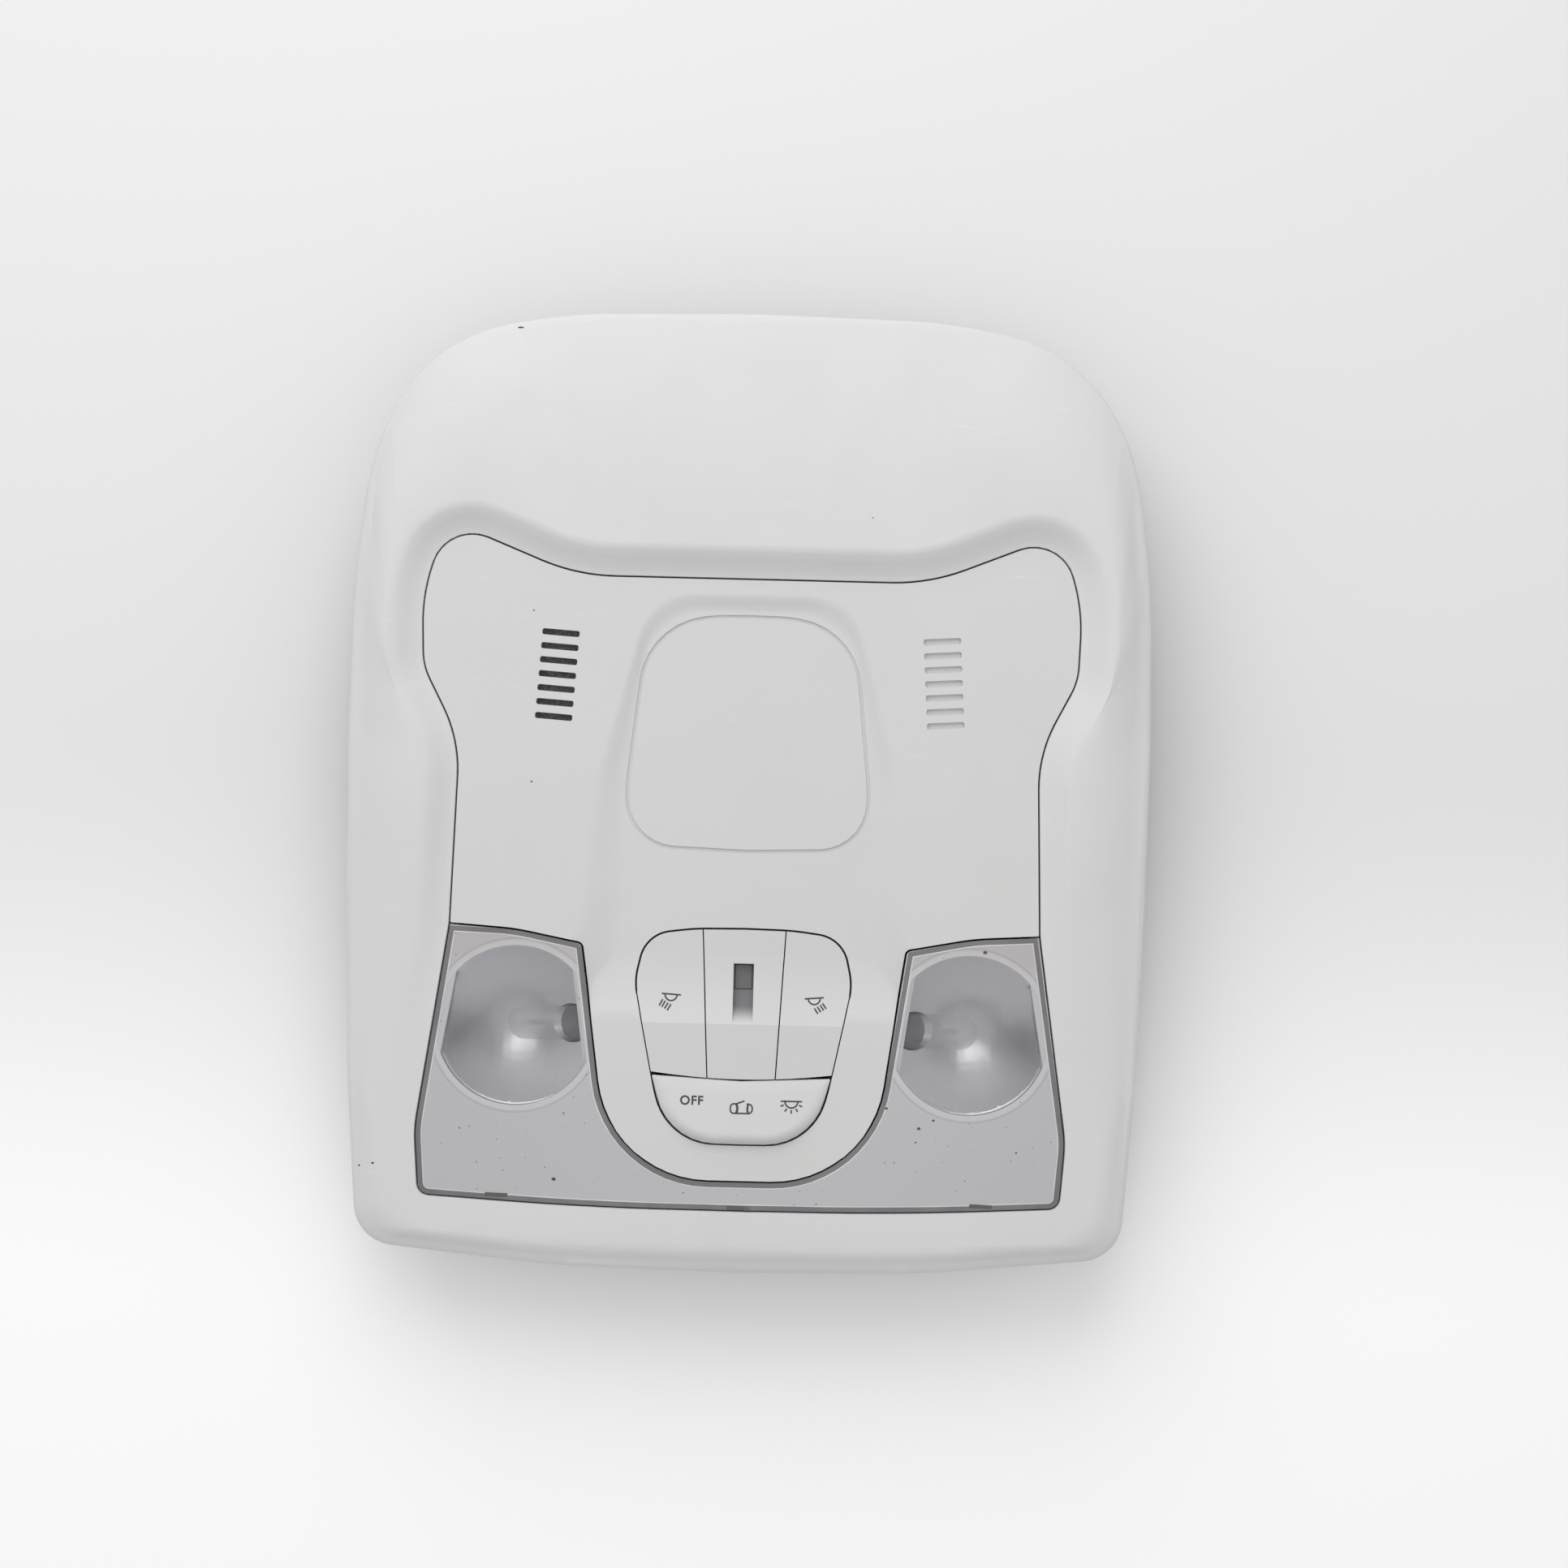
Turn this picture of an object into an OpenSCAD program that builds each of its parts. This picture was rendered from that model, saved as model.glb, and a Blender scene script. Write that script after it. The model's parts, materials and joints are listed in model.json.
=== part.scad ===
// Car interior light: an overhead console with two reading lamps, a courtesy light,
// a push button for each reading lamp, a three-way rocker, a microphone behind a grille
// and a sealed lamp housing behind. Millimetres, lying on its back with the face up.
// X runs to the right of the face, Y to its upper end and Z out of the face.
// The origin lies under the middle of the outline, on the flat back of the rear cover.

/* [Bezel] */
// Width of the bezel over its widest point
bezel_w = 201; // [198:1:212]
// Length of the bezel from its upper to its lower edge
bezel_h = 240; // [238:1:256]
// Height of the face plane above the back of the rear cover
face_z = 38; // [37:0.5:42]
// Height of the bezel rim above the back of the rear cover
rim_z = 24; // [22:0.5:27]
// Height of the ridge above the face, along the upper end of the panel
ridge_h = 4; // [2.5:0.5:5]
// Width of the slope between the ridge and the panel
band_w = 8; // [6:0.5:9]
// Fall of the bezel from the ridge to its outer edge
dome_drop = 6; // [4:0.5:7]
// Rounding of the outer edge
edge_r = 2.5; // [1.5:0.5:3]
// Wall of the bezel
bezel_t = 2.5; // [2:0.1:3]
// Depth of the seat ledge below the face
ledge_depth = 5.6; // [5:0.1:6]
// Thickness of the seat ledge
ledge_t = 1.6; // [1.2:0.1:2]
// How far the seat ledge reaches into the opening
ledge_w = 2.2; // [1.8:0.1:2.6]

/* [Panel] */
// Y of the straight upper edge of the panel
panel_top = 53.3; // [51:0.1:55]
// Half width across the wings of the panel
wing_w = 81.9; // [80:0.1:83.5]
// Half width at the waist of the panel
waist_w = 71.9; // [70:0.1:73]
// Thickness of the panel
panel_t = 2.4; // [2:0.1:3]
// Width of the visible joint lines around panel, lens and buttons
seam = 0.5; // [0.3:0.05:0.7]
// Depth of the trough below the face at its upper end
trough_top_depth = 1.4; // [0.8:0.1:2]
// Depth of the trough below the face at the foot of the ramp
trough_low_depth = 3; // [2:0.1:3.4]
// Y of the crease where the ramp meets the flat of the tongue
crease_y = -57.3; // [-58:0.1:-56.5]
// Width of the moulded line around the blank
groove_w = 0.9; // [0.6:0.1:1.4]
// Depth of the moulded line around the blank
groove_d = 0.5; // [0.3:0.1:0.8]

/* [Grilles] */
// Number of slots in each grille
slot_count = 7; // [5:1:9]
// Length of a slot
slot_l = 9.3; // [8:0.1:11]
// Height of a slot
slot_h = 1.55; // [1.2:0.05:2]
// Spacing of the slots
slot_pitch = 3.48; // [3:0.02:3.8]
// Distance of the grille centres from the middle
grille_x = 48; // [46:0.5:50]
// Y of the grille centres
grille_y = 28.4; // [26:0.2:30]
// Turn of each grille
grille_turn = 3.7; // [0:0.1:5]
// Depth of the blind slots on the right
blind_slot_d = 1; // [0.6:0.1:1.6]

/* [Lens] */
// Half width across the lower end of the lens
lens_w = 80.8; // [79.5:0.1:82]
// Y of the lower edge of the lens at the middle
lens_bottom = -103.7; // [-105:0.1:-102.5]
// Y of the rounded end of the tongue
tongue_end = -96.4; // [-97:0.1:-95.4]
// Thickness of the lens
lens_t = 2.2; // [1.8:0.1:2.6]
// Depth of the lens surface below the face
lens_sink = 0.3; // [0:0.1:0.6]
// Wall of the lens skirt
skirt_t = 1.6; // [1.2:0.1:2]

/* [Reading lamps] */
// Distance of the lamp centres from the middle
lamp_x = 56.3; // [55.5:0.1:57]
// Y of the lamp centres
lamp_y = -58.8; // [-60:0.1:-58]
// Radius of the reflector mouth
lamp_r = 20; // [18.5:0.1:21]
// Wall of the reflectors
reflector_t = 1.2; // [0.8:0.1:1.6]
// Radius of the reading bulb glass
bulb_r = 4.4; // [4:0.1:4.6]

/* [Buttons] */
// Half width of the centre cover at its upper end
split_top = 10.3; // [9.6:0.1:11]
// Half width of the centre cover at its lower end
split_low = 8.5; // [8:0.1:9.2]
// Y of the line between the buttons and the rocker, at the middle
rocker_line = -71.2; // [-72:0.1:-70.8]
// Height of the rocker nose above the face
nose_h = 3.2; // [2:0.1:4]
// Radius of the pivot pins
pivot_r = 1.2; // [1:0.05:1.4]
// Radial play of the pivot pins
pivot_play = 0.05; // [0.03:0.01:0.09]
// Distance of the button pivots below the face
button_pivot_depth = 8.2; // [8:0.1:8.6]
// Y of the button pivots
button_pivot_y = -41; // [-42:0.1:-40.6]
// Distance of the rocker pivot below the face
rocker_pivot_depth = 5; // [4.9:0.05:5.3]
// Wall of the button skirts
button_t = 1.4; // [1.1:0.1:1.6]
// Wall of the switch frame
frame_t = 1.6; // [1.3:0.1:1.8]

/* [Housing] */
// Thickness of the rear cover
cover_t = 3; // [2.8:0.1:3.4]
// Wall of the lamp housing
housing_t = 2; // [1.6:0.1:2.4]
// Height of the housing floor above the back
floor_z = 16; // [15.8:0.1:16.5]
// Height of the circuit board above the back
board_z = 5.5; // [5:0.1:5.8]
// Thickness of the circuit boards
board_t = 1.6; // [1.2:0.1:1.8]
// Shank radius of the screws
screw_r = 1.5; // [1.2:0.05:1.6]
// Radius of the locating pins
locator_r = 2.5; // [2:0.1:3]

/* [Hidden] */
$fn = 48;

// Small distance that lets a cut run past a face
over = 0.1;
// Steps along each rounded corner of the bezel, and of the pieces with straight walls
arc_steps = 7;
fine_steps = 12;
// Points between two corners of an outline
line_steps = 2;

light_grey = [0.83, 0.83, 0.82];
dark_grey = [0.25, 0.25, 0.26];
smoke = [0.55, 0.55, 0.57];
metal = [0.75, 0.75, 0.77];

// Outlines are lists of corners [x, y, radius] for the right half, from the top to the bottom
function unit(v) = v / norm(v);
function corner_xy(c) = [c[0], c[1]];
function left_normal(v) = [-v[1], v[0]];
function lerp(a, b, t) = a + (b - a) * t;
function clamp01(t) = max(0, min(1, t));
function smooth(t) = let (s = clamp01(t)) s * s * (3 - 2 * s);

// Points on the arc that rounds the corner b between a and c
function corner_arc(a, b, c, r, n) =
    let (u = unit(a - b), v = unit(c - b))
    let (half = acos(u * v) / 2)
    let (centre = b + unit(u + v) * r / sin(half))
    let (p0 = b + u * r / tan(half), p1 = b + v * r / tan(half))
    let (a0 = atan2(p0[1] - centre[1], p0[0] - centre[0]))
    let (a1 = atan2(p1[1] - centre[1], p1[0] - centre[0]))
    let (turn = a1 - a0 > 180 ? a1 - a0 - 360 : a1 - a0 < -180 ? a1 - a0 + 360 : a1 - a0)
    [for (i = [0:n]) let (w = a0 + turn * i / n) centre + r * [cos(w), sin(w)]];

// Right half of an outline: start and end lie on the centre line
function half_points(top, corners, bottom, n = arc_steps, m = line_steps) =
    let (raw = concat([[0, top]], [for (c = corners) corner_xy(c)], [[0, bottom]]))
    let (last = len(corners) - 1)
    let (arcs = [for (i = [0:last]) corner_arc(raw[i], raw[i + 1], raw[i + 2], corners[i][2], n)])
    let (spots = concat([[[0, top]]], arcs, [[[0, bottom]]]))
    [for (i = [0:len(spots) - 1])
        for (p = concat(spots[i], i == len(spots) - 1 ? [] :
            [for (k = [1:1:m]) lerp(spots[i][len(spots[i]) - 1], spots[i + 1][0], k / (m + 1))])) p];

// Whole outline, the left half mirrored from the right
function whole(half) =
    concat(half, [for (i = [len(half) - 2:-1:1]) [-half[i][0], half[i][1]]]);

// Corners moved outwards by d, with their radii kept concentric
function grown(top, corners, bottom, d) =
    let (raw = concat([[0, top]], [for (c = corners) corner_xy(c)], [[0, bottom]]))
    [for (i = [0:len(corners) - 1])
        let (e1 = unit(raw[i + 1] - raw[i]), e2 = unit(raw[i + 2] - raw[i + 1]))
        let (n1 = left_normal(e1), n2 = left_normal(e2))
        let (p = raw[i + 1] + (n1 + n2) * d / (1 + n1 * n2))
        let (convex = e1[0] * e2[1] - e1[1] * e2[0] < 0)
        [p[0], p[1], max(0.15, corners[i][2] + (convex ? d : -d))]];

function outline(top, corners, bottom, d = 0, n = arc_steps) =
    whole(half_points(top + d, grown(top, corners, bottom, d), bottom - d, n));

// Wing and waist of the panel, shared by the opening of the bezel
wing_corners = [
    [wing_w - 38.2, panel_top - 0.1, 50],
    [wing_w - 5.7, panel_top + 12.9, 10.2],
    [wing_w, panel_top - 5.8, 45],
    [wing_w - 0.6, panel_top - 23.5, 16],
    [waist_w, panel_top - 41.7, 35]];
lens_top = -33.9;
lens_top_w = 73.3;
opening_corners = concat(wing_corners, [
    [lens_top_w, lens_top, 20],
    [lens_w, lens_bottom + 18.7, 30],
    [lens_w - 1.2, lens_bottom + 2.4, 3],
    [lens_w - 42.8, lens_bottom + 0.1, 900]]);
tongue_w = 40.3;
panel_corners = concat(wing_corners, [
    [lens_top_w, lens_top, 0.6],
    [57, lens_top - 1, 60],
    [tongue_w, lens_top - 4.2, 1.5],
    [tongue_w - 8, tongue_end, 28]]);
half_w = bezel_w / 2;
half_h = bezel_h / 2;
bezel_corners = [
    [46, half_h - 1, 120],
    [half_w - 15.5, half_h - 8, 42],
    [half_w - 4, half_h - 40, 80],
    [half_w - 0.6, 50, 200],
    [half_w, 14, 400],
    [half_w - 0.5, -25, 400],
    [half_w - 1.9, -72, 150],
    [half_w - 4.9, -half_h + 5.8, 11],
    [45, -half_h + 0.8, 200]];

function opening(d = 0, n = arc_steps) = outline(panel_top, opening_corners, lens_bottom, d, n);
function panel_edge(d = 0) = outline(panel_top, panel_corners, tongue_end, d, fine_steps);
function bezel_edge(d = 0) = outline(half_h, bezel_corners, -half_h, d);

// The five pieces of the switch group share one outline
group_top = -33.7;
group_end = -87.3;
group_corners = [
    [12, group_top - 0.2, 60],
    [24.5, group_top - 1.8, 8.5],
    [27.1, group_top - 13.5, 16],
    [21.7, group_top - 40, 60],
    [18, group_end + 0.2, 15.2]];
function group_edge(d = 0) = outline(group_top, group_corners, group_end, d, fine_steps);

// Depth of the trough floor below the face along Y
ramp_foot_y = crease_y + 17.3;
trough_top = 44.9;
function trough_depth(y) =
    lerp(trough_low_depth, trough_top_depth, (y - ramp_foot_y) / (trough_top - ramp_foot_y));

trough_steps = 6;
trough_out_corners = [
    [25.3, trough_top + 4.7, 14],
    [38.4, 2, 60],
    [41.5, -25, 100],
    [45.5, crease_y, 0.6]];
trough_in_corners = [
    [24.8, trough_top, 16],
    [30.9, 1, 80],
    [28.5, -24, 60],
    [31, ramp_foot_y, 1.5]];

// Skin over a stack of rings with equal numbers of points; open stacks get a fan at each end
module skin(rings, ring_closed = false) {
    n = len(rings[0]);
    m = len(rings);
    quads = ring_closed ? m : m - 1;
    ends = [for (r = [rings[0], rings[m - 1]]) (r[0] + r[n / 2]) / 2];
    points = concat([for (r = rings) for (p = r) p], ring_closed ? [] : ends);
    sides = [for (j = [0:quads - 1]) for (i = [0:n - 1])
        let (a = j * n + i, b = j * n + (i + 1) % n)
        let (c = ((j + 1) % m) * n + (i + 1) % n, d = ((j + 1) % m) * n + i)
        for (f = [[a, b, c], [a, c, d]]) f];
    fans = ring_closed ? [] : [for (i = [0:n - 1])
        let (next = (i + 1) % n, last = (m - 1) * n)
        for (f = [[next, i, n * m], [last + i, last + next, n * m + 1]]) f];
    polyhedron(points = points, faces = concat(sides, fans), convexity = 8);
}

function at_z(points, z) = [for (p = points) [p[0], p[1], z]];

// Height of the ridge around the opening: full at the upper end, level with the lens below
function ridge_z(y) = face_z + ridge_h * smooth((y + 75) / 80) + 0.2;

edge_z = face_z + ridge_h - dome_drop;

// Ring of the dome between the outer edge (f = 0) and the ridge (f = 1), sunk by a wall
function dome_ring(f, sink = 0) =
    let (low = bezel_edge(-edge_r - 0.3), high = opening(seam / 2 + band_w))
    [for (i = [0:len(low) - 1])
        let (p = lerp(low[i], high[i], f), z = ridge_z(high[i][1]))
        [p[0], p[1], lerp(edge_z, z, 1 - pow(1 - f, 2.2)) - sink]];

// Ring of the slope between the ridge (s = 0) and the edge of the opening (s = 1)
function band_ring(s) =
    [for (p = opening(seam / 2 + band_w * (1 - s)))
        [p[0], p[1], lerp(ridge_z(p[1]), face_z, smooth(s))]];

// Rounded outer edge at the angle w from the wall
function edge_ring(w) =
    at_z(bezel_edge(-0.3 - edge_r * (1 - cos(w))), edge_z - edge_r + edge_r * sin(w));

flange_z = face_z - ledge_depth - ledge_t;
flange_t = 2;

module bezel_shell() {
    skin([
        at_z(bezel_edge(0), rim_z),
        edge_ring(0), edge_ring(30), edge_ring(60),
        dome_ring(0), dome_ring(0.18), dome_ring(0.42), dome_ring(0.7), dome_ring(1),
        band_ring(0.25), band_ring(0.5), band_ring(0.78), band_ring(1),
        at_z(opening(seam / 2 - 0.1), face_z - 0.4),
        at_z(opening(seam / 2 - 0.1), face_z - ledge_depth),
        at_z(opening(seam / 2 - ledge_w), face_z - ledge_depth),
        at_z(opening(seam / 2 - ledge_w), flange_z),
        at_z(opening(seam / 2 + flange_t), flange_z),
        at_z(opening(seam / 2 + flange_t), face_z - bezel_t),
        dome_ring(0.8, bezel_t),
        dome_ring(0.3, bezel_t),
        at_z(bezel_edge(-bezel_t - 0.3), edge_z - bezel_t - 0.6),
        at_z(bezel_edge(-bezel_t), rim_z)], true);
}

// Under side of the shell near the ridge, where posts and bosses run into it
function shell_reach(y) = ridge_z(y) - bezel_t + 0.8;

// Screw places that join the lamp housing to the bezel, and the wall that each ear grows from
housing_screw_places = [[84, 0], [30, 62.5], [45, -111]];
ear_roots = [[70, 0], [30, 52], [45, -101]];
ear_z = 20;
ear_t = 3;
boss_r = 3.6;
pilot_play = 0.05;
head_r = 2.8;
head_h = 1.6;
screw_reach = 9;

// Under side of the upper field along its middle
function field_z(y) =
    let (edge_y = half_h - edge_r - 0.3, ridge_y = panel_top + seam / 2 + band_w)
    let (f = clamp01((edge_y - y) / (edge_y - ridge_y)))
    lerp(edge_z, ridge_z(ridge_y), 1 - pow(1 - f, 2.2)) - bezel_t;

// Upright rib across the back of the upper field
rib_t = 1.6;
rib_low = rim_z + 3;
module field_rib(x) {
    near = panel_top + seam / 2 + 1;
    far = half_h - bezel_t - 1;
    translate([x - rib_t / 2, 0, 0]) rotate([90, 0, 90]) linear_extrude(rib_t)
        polygon(concat([[far, rib_low], [near, rib_low + 4], [near, face_z - bezel_t + 0.5]],
            [for (y = [near + 7:8:far - 6]) [y, field_z(y) + 0.8]],
            [[far, edge_z - bezel_t]]));
}

wall_out = 1.5;
clip_room = half_w - bezel_t - wing_w - wall_out;
clip_places = [
    [wing_w + wall_out + 0.45 * clip_room, 34],
    [lens_w + wall_out + 0.42 * clip_room, -72]];
clip_post_x = 0.34 * clip_room;
clip_out = 0.24 * clip_room;
clip_post_y = 9;
clip_post_low = 17;
locator_x = 48;
locator_y = 92;
locator_low = 8;
locator_l = 20;
locator_boss = locator_r + 1.6;
spigot_r = locator_r - 0.9;
spigot_l = 5;

module outer_bezel() {
    color(light_grey)
    difference() {
        union() {
            bezel_shell();
            for (side = [-1, 1]) {
                for (x = [16, 34]) field_rib(side * x);
                for (p = housing_screw_places)
                    translate([side * p[0], p[1], ear_z + ear_t])
                        cylinder(r = boss_r, h = shell_reach(p[1]) - ear_z - ear_t);
                for (p = clip_places)
                    translate([side * p[0] - clip_post_x / 2, p[1] - clip_post_y / 2, clip_post_low])
                        cube([clip_post_x, clip_post_y, shell_reach(p[1]) - 0.6 - clip_post_low]);
                translate([side * locator_x, locator_y, locator_low + locator_l])
                    cylinder(r = locator_boss, h = field_z(locator_y) + 0.6 - locator_low - locator_l);
            }
        }
        for (side = [-1, 1]) translate([side * locator_x, locator_y, locator_low + locator_l - over])
            cylinder(r = spigot_r + pilot_play, h = spigot_l + 0.4 + over);
        for (side = [-1, 1]) for (p = housing_screw_places)
            translate([side * p[0], p[1], ear_z + ear_t - over])
                cylinder(r = screw_r + pilot_play, h = screw_reach + over);
    }
}

// Locating pins, each with a spigot in its boss and a short lead at the tip
module locating_pins() {
    color(metal)
    for (side = [-1, 1]) translate([side * locator_x, locator_y, locator_low]) {
        cylinder(r = locator_r, h = locator_l);
        translate([0, 0, locator_l - over]) cylinder(r = spigot_r, h = spigot_l + over);
        translate([0, 0, -1]) cylinder(r1 = locator_r - 0.8, r2 = locator_r - 0.2, h = 1);
    }
}

// Ring of the trough at s = 0 (its upper edge) to s = 1 (its floor)
function trough_ring(s) =
    let (a = outline(trough_top + 4.7, trough_out_corners, crease_y, 0, trough_steps))
    let (b = outline(trough_top, trough_in_corners, ramp_foot_y, 0, trough_steps))
    [for (i = [0:len(a) - 1])
        let (p = lerp(a[i], b[i], s), ramp = smooth((ramp_foot_y + 4 - p[1]) / 8))
        let (fall = lerp(smooth(s), 1 - pow(1 - s, 2), ramp))
        [p[0], p[1], face_z - trough_depth(b[i][1]) * fall]];

// Hollow of the trough with its ramp, open to the top
module trough() {
    skin(concat([for (s = [1, 0.8, 0.6, 0.4, 0.2, 0]) trough_ring(s)], [at_z(trough_ring(0), face_z + 2)]));
}

// Pad that backs the trough, kept inside the edge of the tongue
pad_corners = [
    [26.7, trough_top + 6, 15],
    [39.8, 2, 60],
    [42.2, -32, 30],
    [39, -41, 3],
    [37, crease_y - 1.5, 1]];
module trough_pad() {
    floor_low = -trough_low_depth - panel_t;
    floor_high = -trough_top_depth - panel_t;
    intersection() {
        block(outline(trough_top + 6, pad_corners, crease_y - 1.5), face_z - 8, face_z - 1);
        translate([-half_w, 0, face_z]) rotate([90, 0, 90]) linear_extrude(bezel_w)
            polygon([[trough_top + 8, -1.5], [trough_top + 8, -panel_t - 0.2], [trough_top + 1, floor_high],
                [ramp_foot_y, floor_low], [ramp_foot_y - 9, floor_low + 0.9], [crease_y - 3, -panel_t - 0.2],
                [crease_y - 3, -1.5]]);
    }
}

// Upright block with the given outline
module block(points, low, high) {
    translate([0, 0, low]) linear_extrude(high - low) polygon(points);
}

// Blank in the middle of the panel: a rounded square with a moulded line around it
blank_corners = [
    [8.5, 43.8, 50],
    [25.7, 41.4, 18],
    [30, 2, 60],
    [30, -13.5, 12.2]];
blank_top = 43.9;
blank_low = -14.5;
floor_tilt = atan((trough_low_depth - trough_top_depth) / (trough_top - ramp_foot_y));

module blank_line() {
    translate([0, 0, face_z - trough_depth(0)]) rotate([floor_tilt, 0, 0]) difference() {
        block(outline(blank_top, blank_corners, blank_low, groove_w / 2), -groove_d, 1);
        block(outline(blank_top, blank_corners, blank_low, -groove_w / 2), -groove_d - 1, 2);
    }
}

// Rectangle about the origin with rounded corners
function rounded(w, h, r) =
    [for (c = [0:3]) for (k = [0:3])
        let (a = 90 * c + 30 * k, sx = c == 0 || c == 3 ? 1 : -1, sy = c < 2 ? 1 : -1)
        [sx * (w / 2 - r) + r * cos(a), sy * (h / 2 - r) + r * sin(a)]];

module grille(side, low) {
    translate([side * grille_x, grille_y, low]) rotate([0, 0, side * grille_turn])
        for (i = [0:slot_count - 1]) translate([0, (i - (slot_count - 1) / 2) * slot_pitch, 0])
            block(rounded(slot_l, slot_h, slot_round), 0, face_z + 1 - low);
}

slot_round = 0.5;

// Places of the screws that hold the panel, and heights of the posts that meet
panel_screw_places = [[60, 46], [58, -18]];
panel_post_r = 3;
panel_post_low = 24;
panel_skirt_low = face_z - 5.7;
wall_top = face_z - 6;
ear_top = face_z - 3.2;
rocker_ear_w = 5.2;

module centre_panel() {
    color(light_grey)
    difference() {
        union() {
            block(panel_edge(-seam / 2), face_z - panel_t, face_z);
            trough_pad();
            block(group_edge(seam / 2 + 1.4), panel_skirt_low, face_z - 1);
            for (side = [-1, 1]) for (p = panel_screw_places)
                translate([side * p[0], p[1], panel_post_low])
                    cylinder(r = panel_post_r, h = face_z - 1 - panel_post_low);
        }
        trough();
        block(group_edge(seam / 2), panel_skirt_low - 3, face_z + 1);
        translate([-rocker_ear_w / 2 - 0.4, group_end - 3, panel_skirt_low - 1])
            cube([rocker_ear_w + 0.8, 5, ear_top + 0.3 - panel_skirt_low + 1]);
        grille(-1, face_z - panel_t - 1);
        grille(1, face_z - blind_slot_d);
        blank_line();
        for (side = [-1, 1]) for (p = panel_screw_places)
            translate([side * p[0], p[1], panel_post_low - over])
                cylinder(r = screw_r + pilot_play, h = screw_reach + over);
    }
}

// Area of the lens, drawn in by d from its visible edge
module lens_block(d, low, high) {
    difference() {
        block(opening(-seam / 2 - d, fine_steps), low, high);
        block(panel_edge(seam / 2 + d), low - 1, high + 1);
    }
}

lens_z = face_z - lens_sink;
lens_under = lens_z - lens_t;
skirt_low = face_z - ledge_depth;
hook_places = [-60.3, 0, 60.3];
hook_w = 5.6;
lamp_ring_w = 1.8;
lamp_ring_h = 0.9;

module lamp_lens() {
    color(smoke)
    difference() {
        union() {
            lens_block(0, lens_under, lens_z);
            difference() {
                lens_block(0, skirt_low, lens_under + over);
                lens_block(skirt_t, skirt_low - 1, lens_under + 1);
            }
            for (x = hook_places)
                translate([x - hook_w / 2, lens_bottom + seam / 2 + skirt_t - 0.4 + abs(x) * 0.018, skirt_low])
                    cube([hook_w, 1.4, lens_under - skirt_low + over]);
            for (side = [-1, 1]) intersection() {
                translate([side * lamp_x, lamp_y, lens_under - lamp_ring_h]) difference() {
                    cylinder(r = lamp_r + lamp_ring_w, h = lamp_ring_h + over);
                    translate([0, 0, -over]) cylinder(r = lamp_r, h = lamp_ring_h);
                }
                lens_block(skirt_t - 0.2, lens_under - 3, lens_under + 0.5);
            }
        }
    }
}

diffuser_t = 0.8;
diffuser_top_y = -70;
module light_diffuser() {
    color("white")
    difference() {
        intersection() {
            lens_block(skirt_t + 0.3, lens_under - diffuser_t, lens_under);
            translate([-half_w, -half_h, 0]) cube([bezel_w, half_h + diffuser_top_y, face_z]);
        }
        for (side = [-1, 1]) translate([side * lamp_x, lamp_y, 0])
            cylinder(r = lamp_r + lamp_ring_w + 0.3, h = face_z);
        for (x = hook_places)
            translate([x - hook_w / 2 - 0.3, lens_bottom, 0]) cube([hook_w + 0.6, 4.4, face_z]);
    }
}

// Reading lamps: a bowl cut straight along the sides of the lens, with a flange at its mouth
mouth_z = lens_under - lamp_ring_h - 0.2;
bowl_depth = 15;
flange_h = 1;
bulb_z = face_z - 11.1;
bowl_steps = 10;
function bowl_profile(r, depth, low) =
    concat([for (i = [0:bowl_steps]) [r * i / bowl_steps, low + depth * pow(i / bowl_steps, 2)]],
        [[r, low + depth + 1], [0, low + depth + 1]]);

module bowl_space(grow, inset, low) {
    intersection() {
        translate([lamp_x, lamp_y, 0]) rotate_extrude($fn = 96)
            polygon(bowl_profile(lamp_r + grow, mouth_z - low, low));
        lens_block(inset, low - 1, mouth_z + 0.5);
    }
}

// Distance from the middle of a bowl at which its surface passes under the bulb
neck_reach = lamp_r * sqrt((bulb_z - bulb_r - 0.6 - mouth_z + bowl_depth) / bowl_depth);

// The right one; the left one is its mirror image
module reflector() {
    color(metal)
    difference() {
        union() {
            intersection() {
                bowl_space(reflector_t, skirt_t + 0.3, mouth_z - bowl_depth - reflector_t);
                translate([0, -half_h, 0]) cube([half_w, bezel_h, mouth_z]);
            }
            intersection() {
                lens_block(skirt_t + 0.3, mouth_z - flange_h, mouth_z);
                translate([0, lamp_y - lamp_r - 1.6, 0]) cube([half_w, bezel_h, face_z]);
            }
        }
        bowl_space(0, skirt_t + 1.4, mouth_z - bowl_depth);
        translate([bulb_neck_x - 4, lamp_y, bulb_z]) rotate([0, 90, 0])
            cylinder(r = bulb_r + 0.5, h = lamp_x - neck_reach + 0.5 - bulb_neck_x + 4);
    }
}
module left_reflector() { mirror([1, 0, 0]) reflector(); }
module right_reflector() { reflector(); }

// Reading bulb lying along X, its tip over the middle of the bowl
bulb_neck_x = 39.2;
bulb_l = 20;
base_l = 8;
holder_r = bulb_r + 0.8;
holder_l = 10;
module reading_bulb() {
    color([0.9, 0.9, 0.92])
    translate([bulb_neck_x, lamp_y, bulb_z]) rotate([0, 90, 0]) rotate_extrude()
        polygon(concat([[0, -base_l], [bulb_r - 1, -base_l], [bulb_r - 1, 0], [bulb_r, 1.6]],
            [for (w = [0:15:90]) [bulb_r * cos(w), bulb_l - bulb_r + bulb_r * sin(w)]]));
}
module left_reading_bulb() { mirror([1, 0, 0]) reading_bulb(); }
module right_reading_bulb() { reading_bulb(); }

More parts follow.
